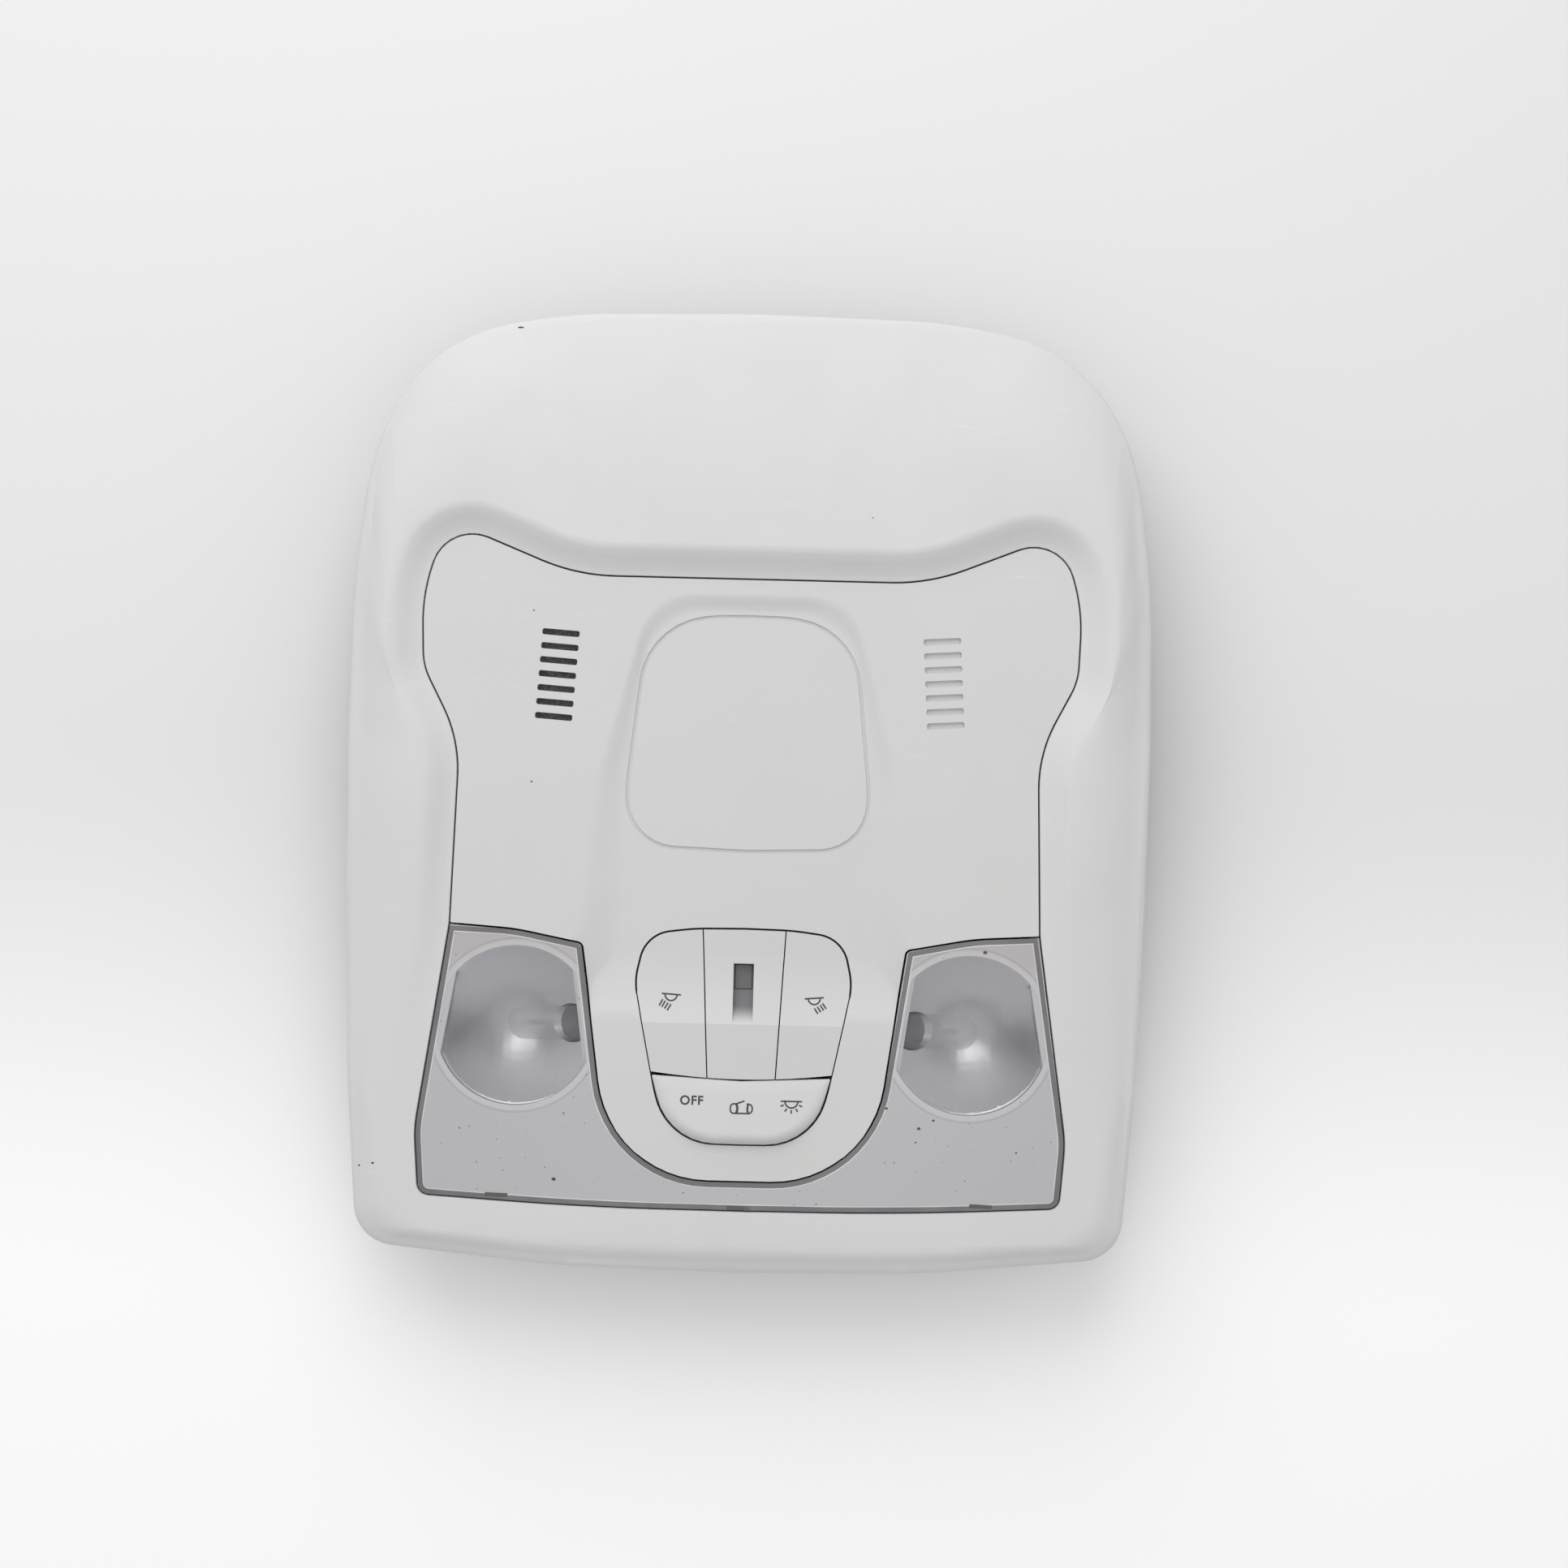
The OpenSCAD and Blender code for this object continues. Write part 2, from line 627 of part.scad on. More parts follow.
module bulb_holder() {
    color(dark_grey)
    translate([bulb_neck_x - 0.3, lamp_y, bulb_z]) rotate([0, -90, 0]) difference() {
        union() {
            cylinder(r = holder_r, h = holder_l);
            translate([0, 0, holder_l - 2]) cylinder(r = holder_r + 0.6, h = 1);
        }
        translate([0, 0, -over]) cylinder(r = bulb_r - 0.9, h = base_l + 0.1);
    }
}
module left_bulb_holder() { mirror([1, 0, 0]) bulb_holder(); }
module right_bulb_holder() { bulb_holder(); }

// Courtesy bulbs lie along X under the lower corners of the lens
festoon_x = lens_w - 21.8;
festoon_y = -90;
festoon_z = 27;
festoon_r = 4.6;
festoon_l = 26;
cap_r = 3.6;
cap_l = 4;
tip_l = 1.5;
floor_t = 2;
floor_top = floor_z + floor_t;
module festoon() {
    half = festoon_l / 2;
    rotate([0, 90, 0]) rotate_extrude()
        polygon([[0, -half - cap_l - tip_l], [1, -half - cap_l - tip_l], [cap_r - 0.6, -half - cap_l],
            [cap_r, -half - cap_l + 0.6], [cap_r, -half], [festoon_r, -half + 2], [festoon_r, half - 2],
            [cap_r, half], [cap_r, half + cap_l - 0.6], [cap_r - 0.6, half + cap_l],
            [1, half + cap_l + tip_l], [0, half + cap_l + tip_l]]);
}
module courtesy_bulbs() {
    color([0.95, 0.95, 0.93])
    for (side = [-1, 1]) translate([side * festoon_x, festoon_y, festoon_z]) festoon();
}

contact_t = 0.8;
contact_w = 8;
contact_h = 14;
module courtesy_contacts() {
    color([0.8, 0.65, 0.35])
    for (side = [-1, 1]) for (end = [-1, 1])
        translate([side * festoon_x + end * (festoon_l / 2 + cap_l + 0.9), festoon_y, 0]) difference() {
            union() {
                translate([-contact_t / 2, -contact_w / 2, floor_top])
                    cube([contact_t, contact_w, contact_h]);
                translate([end > 0 ? -contact_t / 2 - 3 : contact_t / 2, -contact_w / 2, floor_top])
                    cube([3, contact_w, contact_t]);
            }
            translate([-2, 0, festoon_z]) rotate([0, 90, 0]) cylinder(r = 2.6, h = 4);
        }
}

// Lines that part the switch group
split_y0 = group_top - 1.2;
split_y1 = rocker_line + 0.6;
function split_x(y) = lerp(split_top, split_low, (split_y0 - y) / (split_y0 - split_y1));
function rocker_edge(x) = rocker_line + 0.003 * x * x;

// Cells of the switch group, drawn in by d from the visible edge of their piece
module button_cell(d, low, high) {
    g = seam / 2 + d;
    top = group_top + 3;
    intersection() {
        block(group_edge(-g), low, high);
        block(concat([[split_x(top) + g, top], [40, top]],
            [for (x = [40:-4:12]) [x, rocker_edge(x) + g]],
            [[split_x(rocker_line) + g, rocker_edge(split_low) + g]]), low - 1, high + 1);
    }
}
module cover_cell(d, low, high) {
    g = seam / 2 + d;
    top = group_top + 3;
    intersection() {
        block(group_edge(-g), low, high);
        block(concat([[-split_x(top) + g, top], [split_x(top) - g, top], [split_x(rocker_line) - g, rocker_edge(split_low) + g]],
            [for (x = [6:-3:-6]) [x, rocker_edge(x) + g]],
            [[-split_x(rocker_line) + g, rocker_edge(split_low) + g]]), low - 1, high + 1);
    }
}
module rocker_cell(d, low, high) {
    g = seam / 2 + d;
    intersection() {
        block(group_edge(-g), low, high);
        block(concat([[-40, -half_h], [-40, rocker_edge(40) - g]],
            [for (x = [-36:4:36]) [x, rocker_edge(x) - g]],
            [[40, rocker_edge(40) - g], [40, -half_h]]), low - 1, high + 1);
    }
}

// Y where the under side of the buttons steps up, on the ramp
step_y = crease_y + 5.3;
deep_plate = 5.4;
flat_plate = 3;
skirt_inset = 1.3;
skirt_end = face_z - 10.5;
button_pivot_z = face_z - button_pivot_depth;
stem_x = 16.5;
stem_y = -62;
stem_r = 1.6;
plunger_top = 29;
plunger_l = 3.5;
stem_low = plunger_top + 0.3;

// Plate of a button or of the centre cover, thicker under the trough
module stepped_plate() {
    intersection() {
        children();
        union() {
            translate([-half_w, -half_h, face_z - flat_plate]) cube([bezel_w, bezel_h, flat_plate + 1]);
            translate([-half_w, step_y, face_z - deep_plate]) cube([bezel_w, half_h, deep_plate]);
        }
    }
}

// The right one; the left one is its mirror image
module reading_button() {
    color(light_grey)
    difference() {
        union() {
            stepped_plate() button_cell(0, face_z - deep_plate, face_z);
            difference() {
                button_cell(skirt_inset, skirt_end, face_z - flat_plate + 0.5);
                button_cell(skirt_inset + button_t, skirt_end - 1, face_z);
            }
            translate([split_x(button_pivot_y) - 0.6, button_pivot_y, button_pivot_z]) rotate([0, 90, 0])
                cylinder(r = pivot_r, h = 3.4);
            translate([22.4, button_pivot_y, button_pivot_z]) rotate([0, 90, 0])
                cylinder(r = pivot_r, h = 3.6);
            translate([stem_x, stem_y, stem_low]) cylinder(r = stem_r, h = face_z - 1 - stem_low);
        }
        trough();
    }
}
module left_reading_button() { mirror([1, 0, 0]) reading_button(); }
module right_reading_button() { reading_button(); }

// Narrow channel in the centre cover: a light window at its deep end and a ramp up to the crease
channel_w = 5;
channel_top = -42.4;
channel_low = crease_y;
channel_floor = face_z - 5.4;
window_l = 6.8;
window_play = 0.1;
light_box_low = face_z - 9;
module channel() {
    translate([-channel_w / 2, 0, 0]) rotate([90, 0, 90]) linear_extrude(channel_w)
        polygon([[channel_top, face_z + 1], [channel_top, channel_floor],
            [channel_top - window_l, channel_floor], [channel_top - window_l - 3, channel_floor + 1.4],
            [channel_low, face_z], [channel_low, face_z + 1]]);
}

module centre_switch_cover() {
    color(light_grey)
    difference() {
        union() {
            stepped_plate() cover_cell(0, face_z - deep_plate, face_z);
            difference() {
                cover_cell(0, wall_top, face_z - flat_plate + 0.5);
                translate([-split_low + seam + 1.2, -half_h, wall_top - 1])
                    cube([2 * (split_low - seam - 1.2), bezel_h, 8]);
                translate([-half_w, -half_h, 0]) cube([bezel_w, half_h + rocker_line + 4, face_z]);
            }
            translate([-channel_w / 2 - 1.2, channel_top - window_l - 3, light_box_low])
                cube([channel_w + 2.4, window_l + 4.2, face_z - 4 - light_box_low]);
            translate([-channel_w / 2 - 1.2, channel_low + 1, channel_floor])
                cube([channel_w + 2.4, channel_top - window_l - channel_low - 1.5, face_z - 2 - channel_floor]);
        }
        trough();
        channel();
        translate([-channel_w / 2 + 0.3, channel_top - window_l + 0.3, light_box_low - 1])
            cube([channel_w - 0.6, window_l - 0.6, 10]);
    }
}

module ambient_light_window() {
    color([0.6, 0.6, 0.62])
    translate([-channel_w / 2 + 0.3 + window_play, channel_top - window_l + 0.3 + window_play, led_top + 0.3])
        cube([channel_w - 0.6 - 2 * window_play, window_l - 0.6 - 2 * window_play,
            channel_floor - led_top - 0.3]);
}

led_h = 1.6;
switch_board_z = 22;
switch_board_top = switch_board_z + board_t;
led_top = switch_board_top + led_h;
module ambient_led() {
    color([0.95, 0.95, 0.8])
    translate([-1.6, channel_top - window_l / 2 - 1.4, switch_board_top]) cube([3.2, 2.8, led_h]);
}

// Rocker: a plane that rises towards the nose, rounded down to the seam all around
rocker_round = 3;
rocker_pivot_z = face_z - rocker_pivot_depth;
rocker_plate = 2.4;
function nose_rise(y) = nose_h * (rocker_line - y) / (rocker_line - group_end);
rocker_corners = [
    [22.45, rocker_line + 1.1, 0.5],
    group_corners[4]];
function rocker_edge_ring(d) = outline(rocker_line, rocker_corners, group_end, d);
module rocker_crown() {
    skin(concat([at_z(rocker_edge_ring(-seam / 2), face_z - rocker_plate)],
        [for (w = [0, 22, 45, 68, 90])
            [for (p = rocker_edge_ring(-seam / 2 - rocker_round * (1 - cos(w))))
                [p[0], p[1], face_z - 0.4 + (nose_rise(p[1]) + 0.4) * sin(w)]]]));
}

slider_z = 27.7;
fork_r = 0.8;
module dome_rocker() {
    color(light_grey) {
        rocker_crown();
        difference() {
            rocker_cell(skirt_inset, face_z - 9, face_z - rocker_plate + 0.3);
            rocker_cell(skirt_inset + button_t, face_z - 10, face_z);
        }
        translate([0, rocker_line - 3.4, rocker_pivot_z]) rotate([-90, 0, 0]) cylinder(r = pivot_r, h = 4);
        translate([0, group_end - 0.6, rocker_pivot_z]) rotate([-90, 0, 0]) cylinder(r = pivot_r, h = 3.6);
        translate([0, mode_y, slider_z - 1.1]) cylinder(r = fork_r, h = face_z - 1 - slider_z);
        translate([0, mode_y, slider_z + 2]) cylinder(r = 2 * fork_r, h = face_z - 2.5 - slider_z);
    }
}

// Frame around the switch group, with the walls that carry the pivots
module switch_frame() {
    bore = pivot_r + pivot_play;
    color(dark_grey)
    difference() {
        union() {
            difference() {
                block(group_edge(frame_t / 2), floor_top, wall_top);
                block(group_edge(-frame_t / 2), switch_board_z, wall_top + 1);
                block(group_edge(-frame_t / 2 - 1.4), floor_top - 1, wall_top);
            }
            intersection() {
                block(group_edge(0), switch_board_top + 0.3, ear_top);
                union() {
                    for (side = [-1, 1]) block([
                        [side * (split_x(split_y0 + 2) - frame_t / 2), split_y0 + 2],
                        [side * (split_x(split_y0 + 2) + frame_t / 2), split_y0 + 2],
                        [side * (split_x(rocker_line) + frame_t / 2), rocker_line],
                        [side * (split_x(rocker_line) - frame_t / 2), rocker_line]], 0, wall_top);
                    block(concat([for (x = [-28:4:28]) [x, rocker_edge(x) + frame_t / 2]],
                        [for (x = [28:-4:-28]) [x, rocker_edge(x) - frame_t / 2]]), 0, wall_top);
                    translate([-rocker_ear_w / 2, rocker_line - frame_t / 2, wall_top - 1])
                        cube([rocker_ear_w, frame_t, ear_top - wall_top + 1]);
                }
            }
            translate([-rocker_ear_w / 2, group_end - frame_t / 2, wall_top - 1])
                cube([rocker_ear_w, frame_t, ear_top - wall_top + 1]);
        }
        translate([0, button_pivot_y, button_pivot_z]) rotate([0, 90, 0])
            cylinder(r = bore, h = 80, center = true);
        translate([0, group_end - 3, rocker_pivot_z]) rotate([-90, 0, 0])
            cylinder(r = bore, h = rocker_line - group_end + 6);
    }
}

// Small switches under the two buttons
switch_w = 6;
switch_h = 3.5;
module tact_switch() {
    color(dark_grey)
    translate([stem_x, stem_y, switch_board_top]) difference() {
        translate([-switch_w / 2, -switch_w / 2, 0]) cube([switch_w, switch_w, switch_h]);
        translate([0, 0, plunger_top - plunger_l - 1 - switch_board_top])
            cylinder(r = stem_r + pivot_play, h = switch_h);
    }
}
module left_switch() { mirror([1, 0, 0]) tact_switch(); }
module right_switch() { tact_switch(); }
module plunger() {
    color([0.85, 0.8, 0.7])
    translate([stem_x, stem_y, plunger_top - plunger_l]) cylinder(r = stem_r, h = plunger_l);
}
module left_plunger() { mirror([1, 0, 0]) plunger(); }
module right_plunger() { plunger(); }

// Three-way slide switch under the rocker
mode_y = -79;
mode_w = 17;
mode_d = 6;
mode_h = 3.6;
slider_w = 5;
slider_d = 3.2;
slide_play = 0.25;
slide_travel = 0.8;
module mode_switch() {
    color(dark_grey)
    translate([0, mode_y, switch_board_top]) difference() {
        translate([-mode_w / 2, -mode_d / 2, 0]) cube([mode_w, mode_d, mode_h]);
        translate([-slider_w / 2 - slide_travel, -slider_d / 2 - slide_play, 1.2])
            cube([slider_w + 2 * slide_travel, slider_d + 2 * slide_play, mode_h]);
    }
}
module contact_slider() {
    color([0.85, 0.8, 0.7])
    translate([0, mode_y, switch_board_top + 1.45]) difference() {
        translate([-slider_w / 2, -slider_d / 2, 0]) cube([slider_w, slider_d, slider_z + 1.1 - switch_board_top - 1.45]);
        translate([0, 0, slider_z - 1.4 - switch_board_top - 1.45]) cylinder(r = fork_r + 0.3, h = 4);
    }
}

module switch_board() {
    color([0.1, 0.35, 0.2]) block(group_edge(-frame_t / 2 - 0.3), switch_board_z, switch_board_top);
}

link_y = -66;
link_pitch = 2.54;
link_count = 6;
pin_w = 0.64;
board_top = board_z + board_t;
module board_link_pins() {
    color([0.8, 0.65, 0.35])
    for (i = [0:link_count - 1])
        translate([(i - (link_count - 1) / 2) * link_pitch - pin_w / 2, link_y - pin_w / 2, board_top])
            cube([pin_w, pin_w, switch_board_z - board_top]);
}

// Microphone behind the left grille
foam_w = slot_l + 2.7;
foam_l = (slot_count - 1) * slot_pitch + slot_h + 3.6;
foam_t = 2;
mic_wall = 1.6;
mic_low = 27;
capsule_r = 4.8;
foam_z = face_z - panel_t - foam_t;
module at_microphone() {
    translate([-grille_x, grille_y, 0]) rotate([0, 0, -grille_turn]) children();
}
module microphone_foam() {
    color(dark_grey) at_microphone()
        translate([-foam_w / 2, -foam_l / 2, foam_z]) cube([foam_w, foam_l, foam_t]);
}
module microphone_holder() {
    color(dark_grey) at_microphone() difference() {
        translate([-foam_w / 2 - mic_wall, -foam_l / 2 - mic_wall, mic_low])
            cube([foam_w + 2 * mic_wall, foam_l + 2 * mic_wall, face_z - panel_t - 0.3 - mic_low]);
        translate([-foam_w / 2 - 0.1, -foam_l / 2 - 0.1, mic_low + mic_wall])
            cube([foam_w + 0.2, foam_l + 0.2, 20]);
    }
}
module microphone_capsule() {
    color(metal) at_microphone() translate([0, 0, mic_low + mic_wall])
        cylinder(r = capsule_r, h = foam_z - mic_low - mic_wall);
}

// Lamp housing behind panel and lens, with the floor that carries the lamps
cover_screw_places = [[71, 40], [65.5, -4], [70, -98]];
cover_boss_r = 3.4;
cover_boss_h = 5.5;
cover_pillar_r = 4.5;
cover_seat_z = 8;
connector_w = 26;
connector_l = 18;
connector_h = 8.4;
connector_y = 40;
seat_play = 0.1;
cradle_out = 1.8;
cradle_in = bulb_neck_x - holder_l + 2;
module lamp_housing() {
    color(dark_grey)
    difference() {
        union() {
            difference() {
                block(opening(wall_out), floor_z, flange_z);
                block(opening(wall_out - housing_t), floor_z - 1, flange_z + 1);
            }
            block(opening(wall_out - 0.5), floor_z, floor_top);
            for (side = [-1, 1]) {
                for (i = [0:len(housing_screw_places) - 1]) hull() {
                    translate([side * housing_screw_places[i][0], housing_screw_places[i][1], ear_z])
                        cylinder(r = boss_r + 0.6, h = ear_t, $fn = 24);
                    translate([side * ear_roots[i][0], ear_roots[i][1], ear_z])
                        cylinder(r = boss_r + 2, h = ear_t, $fn = 24);
                }
                for (p = panel_screw_places) translate([side * p[0], p[1], floor_z])
                    cylinder(r = panel_post_r + 0.8, h = panel_post_low - floor_z);
                for (p = cover_screw_places) translate([side * p[0], p[1], floor_z])
                    cylinder(r = cover_boss_r, h = cover_boss_h);
                translate([side * (cradle_in + bulb_neck_x - cradle_out) / 2, lamp_y, 0])
                    block(rounded(bulb_neck_x - cradle_out - cradle_in, 10, 0.4), floor_z, bulb_z - holder_r + 1.5);
            }
            at_microphone() translate([-5, -9, floor_z]) cube([10, 18, mic_low - floor_z]);
        }
        for (side = [-1, 1]) {
            for (p = housing_screw_places) translate([side * p[0], p[1], ear_z - 1])
                cylinder(r = screw_r + 0.3, h = ear_t + 2);
            for (p = panel_screw_places) translate([side * p[0], p[1], floor_z - 1])
                cylinder(r = screw_r + 0.3, h = panel_post_low - floor_z + 2);
            for (p = cover_screw_places) translate([side * p[0], p[1], floor_z - over])
                cylinder(r = screw_r + pilot_play, h = cover_boss_h - 0.8 + over);
            translate([side * (bulb_neck_x - 12), lamp_y, bulb_z]) rotate([0, side * 90, 0])
                cylinder(r = holder_r + seat_play, h = 14);
        }
        translate([-link_pitch * link_count / 2 - 1, link_y - 2, floor_z - 1])
            cube([link_pitch * link_count + 2, 4, floor_t + 2]);
    }
}

board_w = 88;
board_y0 = -62;
board_y1 = 48;
board_posts = [[38, 42], [38, -56]];
module rear_cover() {
    color(dark_grey)
    difference() {
        union() {
            block(opening(wall_out), 0, cover_t);
            difference() {
                block(opening(wall_out), cover_t - over, floor_z);
                block(opening(wall_out - housing_t), 0, floor_z + 1);
            }
            for (side = [-1, 1]) {
                for (p = board_posts)
                    translate([side * p[0], p[1], cover_t - 0.5]) cylinder(r = 3, h = board_z - cover_t + 0.5);
                for (p = cover_screw_places)
                    translate([side * p[0], p[1], cover_t - 0.5])
                        cylinder(r = cover_pillar_r, h = floor_z - cover_t + 0.5);
            }
        }
        for (side = [-1, 1]) for (p = cover_screw_places) translate([side * p[0], p[1], -over]) {
            cylinder(r = head_r + 0.3, h = cover_seat_z + over);
            cylinder(r = screw_r + 0.3, h = floor_z + 2);
        }
        translate([-connector_w / 2 - 0.3, panel_top - 4, board_top - 0.3])
            cube([connector_w + 0.6, 12, floor_z]);
    }
}

module circuit_board() {
    color([0.1, 0.35, 0.2])
    translate([-board_w / 2, board_y0, board_z]) cube([board_w, board_y1 - board_y0, board_t]);
}

module board_parts() {
    translate([0, 0, board_top]) {
        color([0.15, 0.15, 0.5]) translate([-34, 4, 0]) cube([16, 19, 7.6]);
        color([0.1, 0.1, 0.1]) translate([4, -6, 0]) cube([12, 12, 1.6]);
        color([0.1, 0.1, 0.1]) translate([22, 14, 0]) cube([6, 9, 1.8]);
        color([0.3, 0.3, 0.35]) translate([28, -24, 0]) cylinder(r = 4, h = 7.8);
        color([0.3, 0.3, 0.35]) translate([16, -30, 0]) cylinder(r = 3.2, h = 7);
        color([0.5, 0.4, 0.3]) translate([-24, -34, 0]) cylinder(r = 5, h = 5);
    }
}

socket_wall = 1.5;
socket_back = 4;
pin_l = 9;
module connector_header() {
    color(dark_grey)
    translate([-connector_w / 2, connector_y, board_top]) difference() {
        cube([connector_w, connector_l, connector_h]);
        translate([socket_wall, socket_back, socket_wall])
            cube([connector_w - 2 * socket_wall, connector_l, connector_h - 2 * socket_wall]);
    }
}
module connector_pins() {
    color([0.8, 0.65, 0.35])
    for (i = [-4:4])
        translate([i * link_pitch - pin_w / 2, connector_y + socket_back, board_top + connector_h / 2 - pin_w / 2])
            cube([pin_w, pin_l, pin_w]);
}

// Screw along Z with its head below
module screw(length) {
    translate([0, 0, -head_h]) difference() {
        cylinder(r = head_r, h = head_h);
        for (turn = [0, 90]) rotate([0, 0, turn]) translate([-2, -0.4, -1]) cube([4, 0.8, 1.8]);
    }
    translate([0, 0, -over]) cylinder(r = screw_r, h = length + over);
}
module housing_screws() {
    color(metal) for (side = [-1, 1]) for (p = housing_screw_places)
        translate([side * p[0], p[1], ear_z]) screw(ear_t + screw_reach - 1);
}
module panel_screws() {
    color(metal) for (side = [-1, 1]) for (p = panel_screw_places)
        translate([side * p[0], p[1], floor_z]) screw(panel_post_low - floor_z + screw_reach - 1);
}
module cover_screws() {
    color(metal) for (side = [-1, 1]) for (p = cover_screw_places)
        translate([side * p[0], p[1], cover_seat_z]) screw(floor_z - cover_seat_z + cover_boss_h - 1.5);
}

// Bent spring steel clips over the four posts of the bezel
clip_t = 0.6;
clip_w = 7;
clip_leg = 9;
module spring_clip() {
    half = clip_post_x / 2 + 0.05;
    translate([0, clip_w / 2, 0]) rotate([90, 0, 0]) linear_extrude(clip_w) {
        polygon([[-half - clip_t, clip_leg], [-half - clip_t, 0], [-half - clip_out + 0.5, 4.5], [-half - clip_out, 4.2],
            [-half - 0.9, -clip_t], [half + 0.9, -clip_t], [half + clip_out, 4.2], [half + clip_out - 0.5, 4.5],
            [half + clip_t, 0], [half + clip_t, clip_leg], [half, clip_leg], [half, 0],
            [-half, 0], [-half, clip_leg]]);
    }
}
module spring_clips() {
    color(metal) for (side = [-1, 1]) for (p = clip_places)
        translate([side * p[0], p[1], clip_post_low]) spring_clip();
}

outer_bezel();
centre_panel();
lamp_lens();
light_diffuser();
left_reflector();
right_reflector();
left_reading_bulb();
right_reading_bulb();
left_bulb_holder();
right_bulb_holder();
courtesy_bulbs();
courtesy_contacts();
switch_frame();
left_reading_button();
right_reading_button();
centre_switch_cover();
dome_rocker();
switch_board();
left_switch();
right_switch();
left_plunger();
right_plunger();
mode_switch();
contact_slider();
board_link_pins();
ambient_light_window();
ambient_led();
microphone_foam();
microphone_capsule();
microphone_holder();
lamp_housing();
rear_cover();
circuit_board();
board_parts();
connector_header();
connector_pins();
housing_screws();
panel_screws();
cover_screws();
spring_clips();
locating_pins();
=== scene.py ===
# %% [markdown]
# # A car interior light, dressed for its portrait
# The solids come from the CAD part, which is packed as a fixed frame. This lesson gives
# them their looks: moulded plastic, a smoky lens, metallised bowls, bulbs, boards and
# screws, and the signs that are printed on the buttons. Every piece rides on the body
# that carries it, so the buttons and the rocker can still be pressed.

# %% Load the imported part
import json
import math

import bmesh
import bpy
from mathutils import Euler, Matrix, Vector
from mathutils.bvhtree import BVHTree


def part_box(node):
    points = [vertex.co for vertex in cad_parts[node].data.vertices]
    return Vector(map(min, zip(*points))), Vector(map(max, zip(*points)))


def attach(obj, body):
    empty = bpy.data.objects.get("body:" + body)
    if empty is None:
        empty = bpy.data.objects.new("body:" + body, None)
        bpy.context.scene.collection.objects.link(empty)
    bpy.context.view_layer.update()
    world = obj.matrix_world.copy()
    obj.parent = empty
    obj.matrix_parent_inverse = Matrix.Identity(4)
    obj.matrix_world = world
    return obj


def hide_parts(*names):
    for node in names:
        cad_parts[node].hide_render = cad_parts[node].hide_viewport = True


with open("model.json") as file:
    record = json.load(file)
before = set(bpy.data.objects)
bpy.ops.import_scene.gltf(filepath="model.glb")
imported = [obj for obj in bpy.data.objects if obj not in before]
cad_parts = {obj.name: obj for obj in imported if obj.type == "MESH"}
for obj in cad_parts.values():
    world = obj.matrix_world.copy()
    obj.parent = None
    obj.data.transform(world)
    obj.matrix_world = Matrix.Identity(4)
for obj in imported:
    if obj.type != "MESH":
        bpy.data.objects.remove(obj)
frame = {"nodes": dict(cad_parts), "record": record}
nodes = frame["nodes"]
bodies = frame["record"]["behaviour"]["bodies"]
body_of_node = {node: body for body, members in bodies.items() for node in members}
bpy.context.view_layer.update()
MM = 0.001

# %% [markdown]
# ## Camera
# The photograph looks square at the face from about three quarters of a metre, a little
# to the right of its middle, and the part is turned by just over a degree. A long lens
# keeps the depth of the bezel from opening out at the edges.

# %% Put the camera where the photographer stood
FACE = 0.038
CAMERA_DISTANCE = 0.75
PHOTO_TURN = math.radians(1.39)
camera_data = bpy.data.cameras.new("portrait_camera")
camera_data.sensor_width = 36
camera_data.lens = 69.4
camera = bpy.data.objects.new("portrait_camera", camera_data)
camera.location = (0.0089, 0.0026, FACE + CAMERA_DISTANCE)
camera.rotation_euler = Euler((0, 0, PHOTO_TURN))
bpy.context.scene.collection.objects.link(camera)
bpy.context.scene.camera = camera
bpy.context.scene.view_settings.view_transform = "Standard"
print("camera at", [round(v, 3) for v in camera.location])

# %% [markdown]
# ## Nodes without tears
# A material is a small graph. A few helpers keep its making readable: one adds a node and
# sets its sockets by name, the others do a sum, mix two colours or stretch a range.
# Everything that varies over a surface reads Object coordinates, so it stays put when
# the camera moves.

# %% Helpers for node graphs
def add_node(tree, kind, label, settings=None, **values):
    """A new node with its properties in settings and its sockets in values."""
    node = tree.nodes.new(kind)
    node.label = label
    for key, value in (settings or {}).items():
        setattr(node, key, value)
    for key, value in values.items():
        node.inputs[key.replace("_", " ")].default_value = value
    node.location = (220 * (len(tree.nodes) % 7), -180 * (len(tree.nodes) // 7))
    return node


def calc(tree, operation, a, b=None):
    """A Math node on two numbers or sockets; returns its output."""
    node = add_node(tree, "ShaderNodeMath", operation.lower(), {"operation": operation})
    for i, value in enumerate((a, b)):
        if value is None:
            continue
        if isinstance(value, (int, float)):
            node.inputs[i].default_value = value
        else:
            tree.links.new(value, node.inputs[i])
    return node.outputs[0]


def blend_colours(tree, factor, first, second):
    """A Mix node for two colours, given as tuples or sockets."""
    node = add_node(tree, "ShaderNodeMix", "colour mix", {"data_type": "RGBA"})
    for socket, value in ((node.inputs[0], factor), (node.inputs[6], first), (node.inputs[7], second)):
        if isinstance(value, (tuple, int, float)):
            socket.default_value = value
        else:
            tree.links.new(value, socket)
    return node.outputs[2]


def ramp(tree, value, low, high, out_low=0.0, out_high=1.0):
    """A smooth Map Range of a socket."""
    node = add_node(tree, "ShaderNodeMapRange", "range", {"interpolation_type": "SMOOTHSTEP"},
                    From_Min=low, From_Max=high, To_Min=out_low, To_Max=out_high)
    tree.links.new(value, node.inputs["Value"])
    return node.outputs["Result"]


print("graph helpers ready")

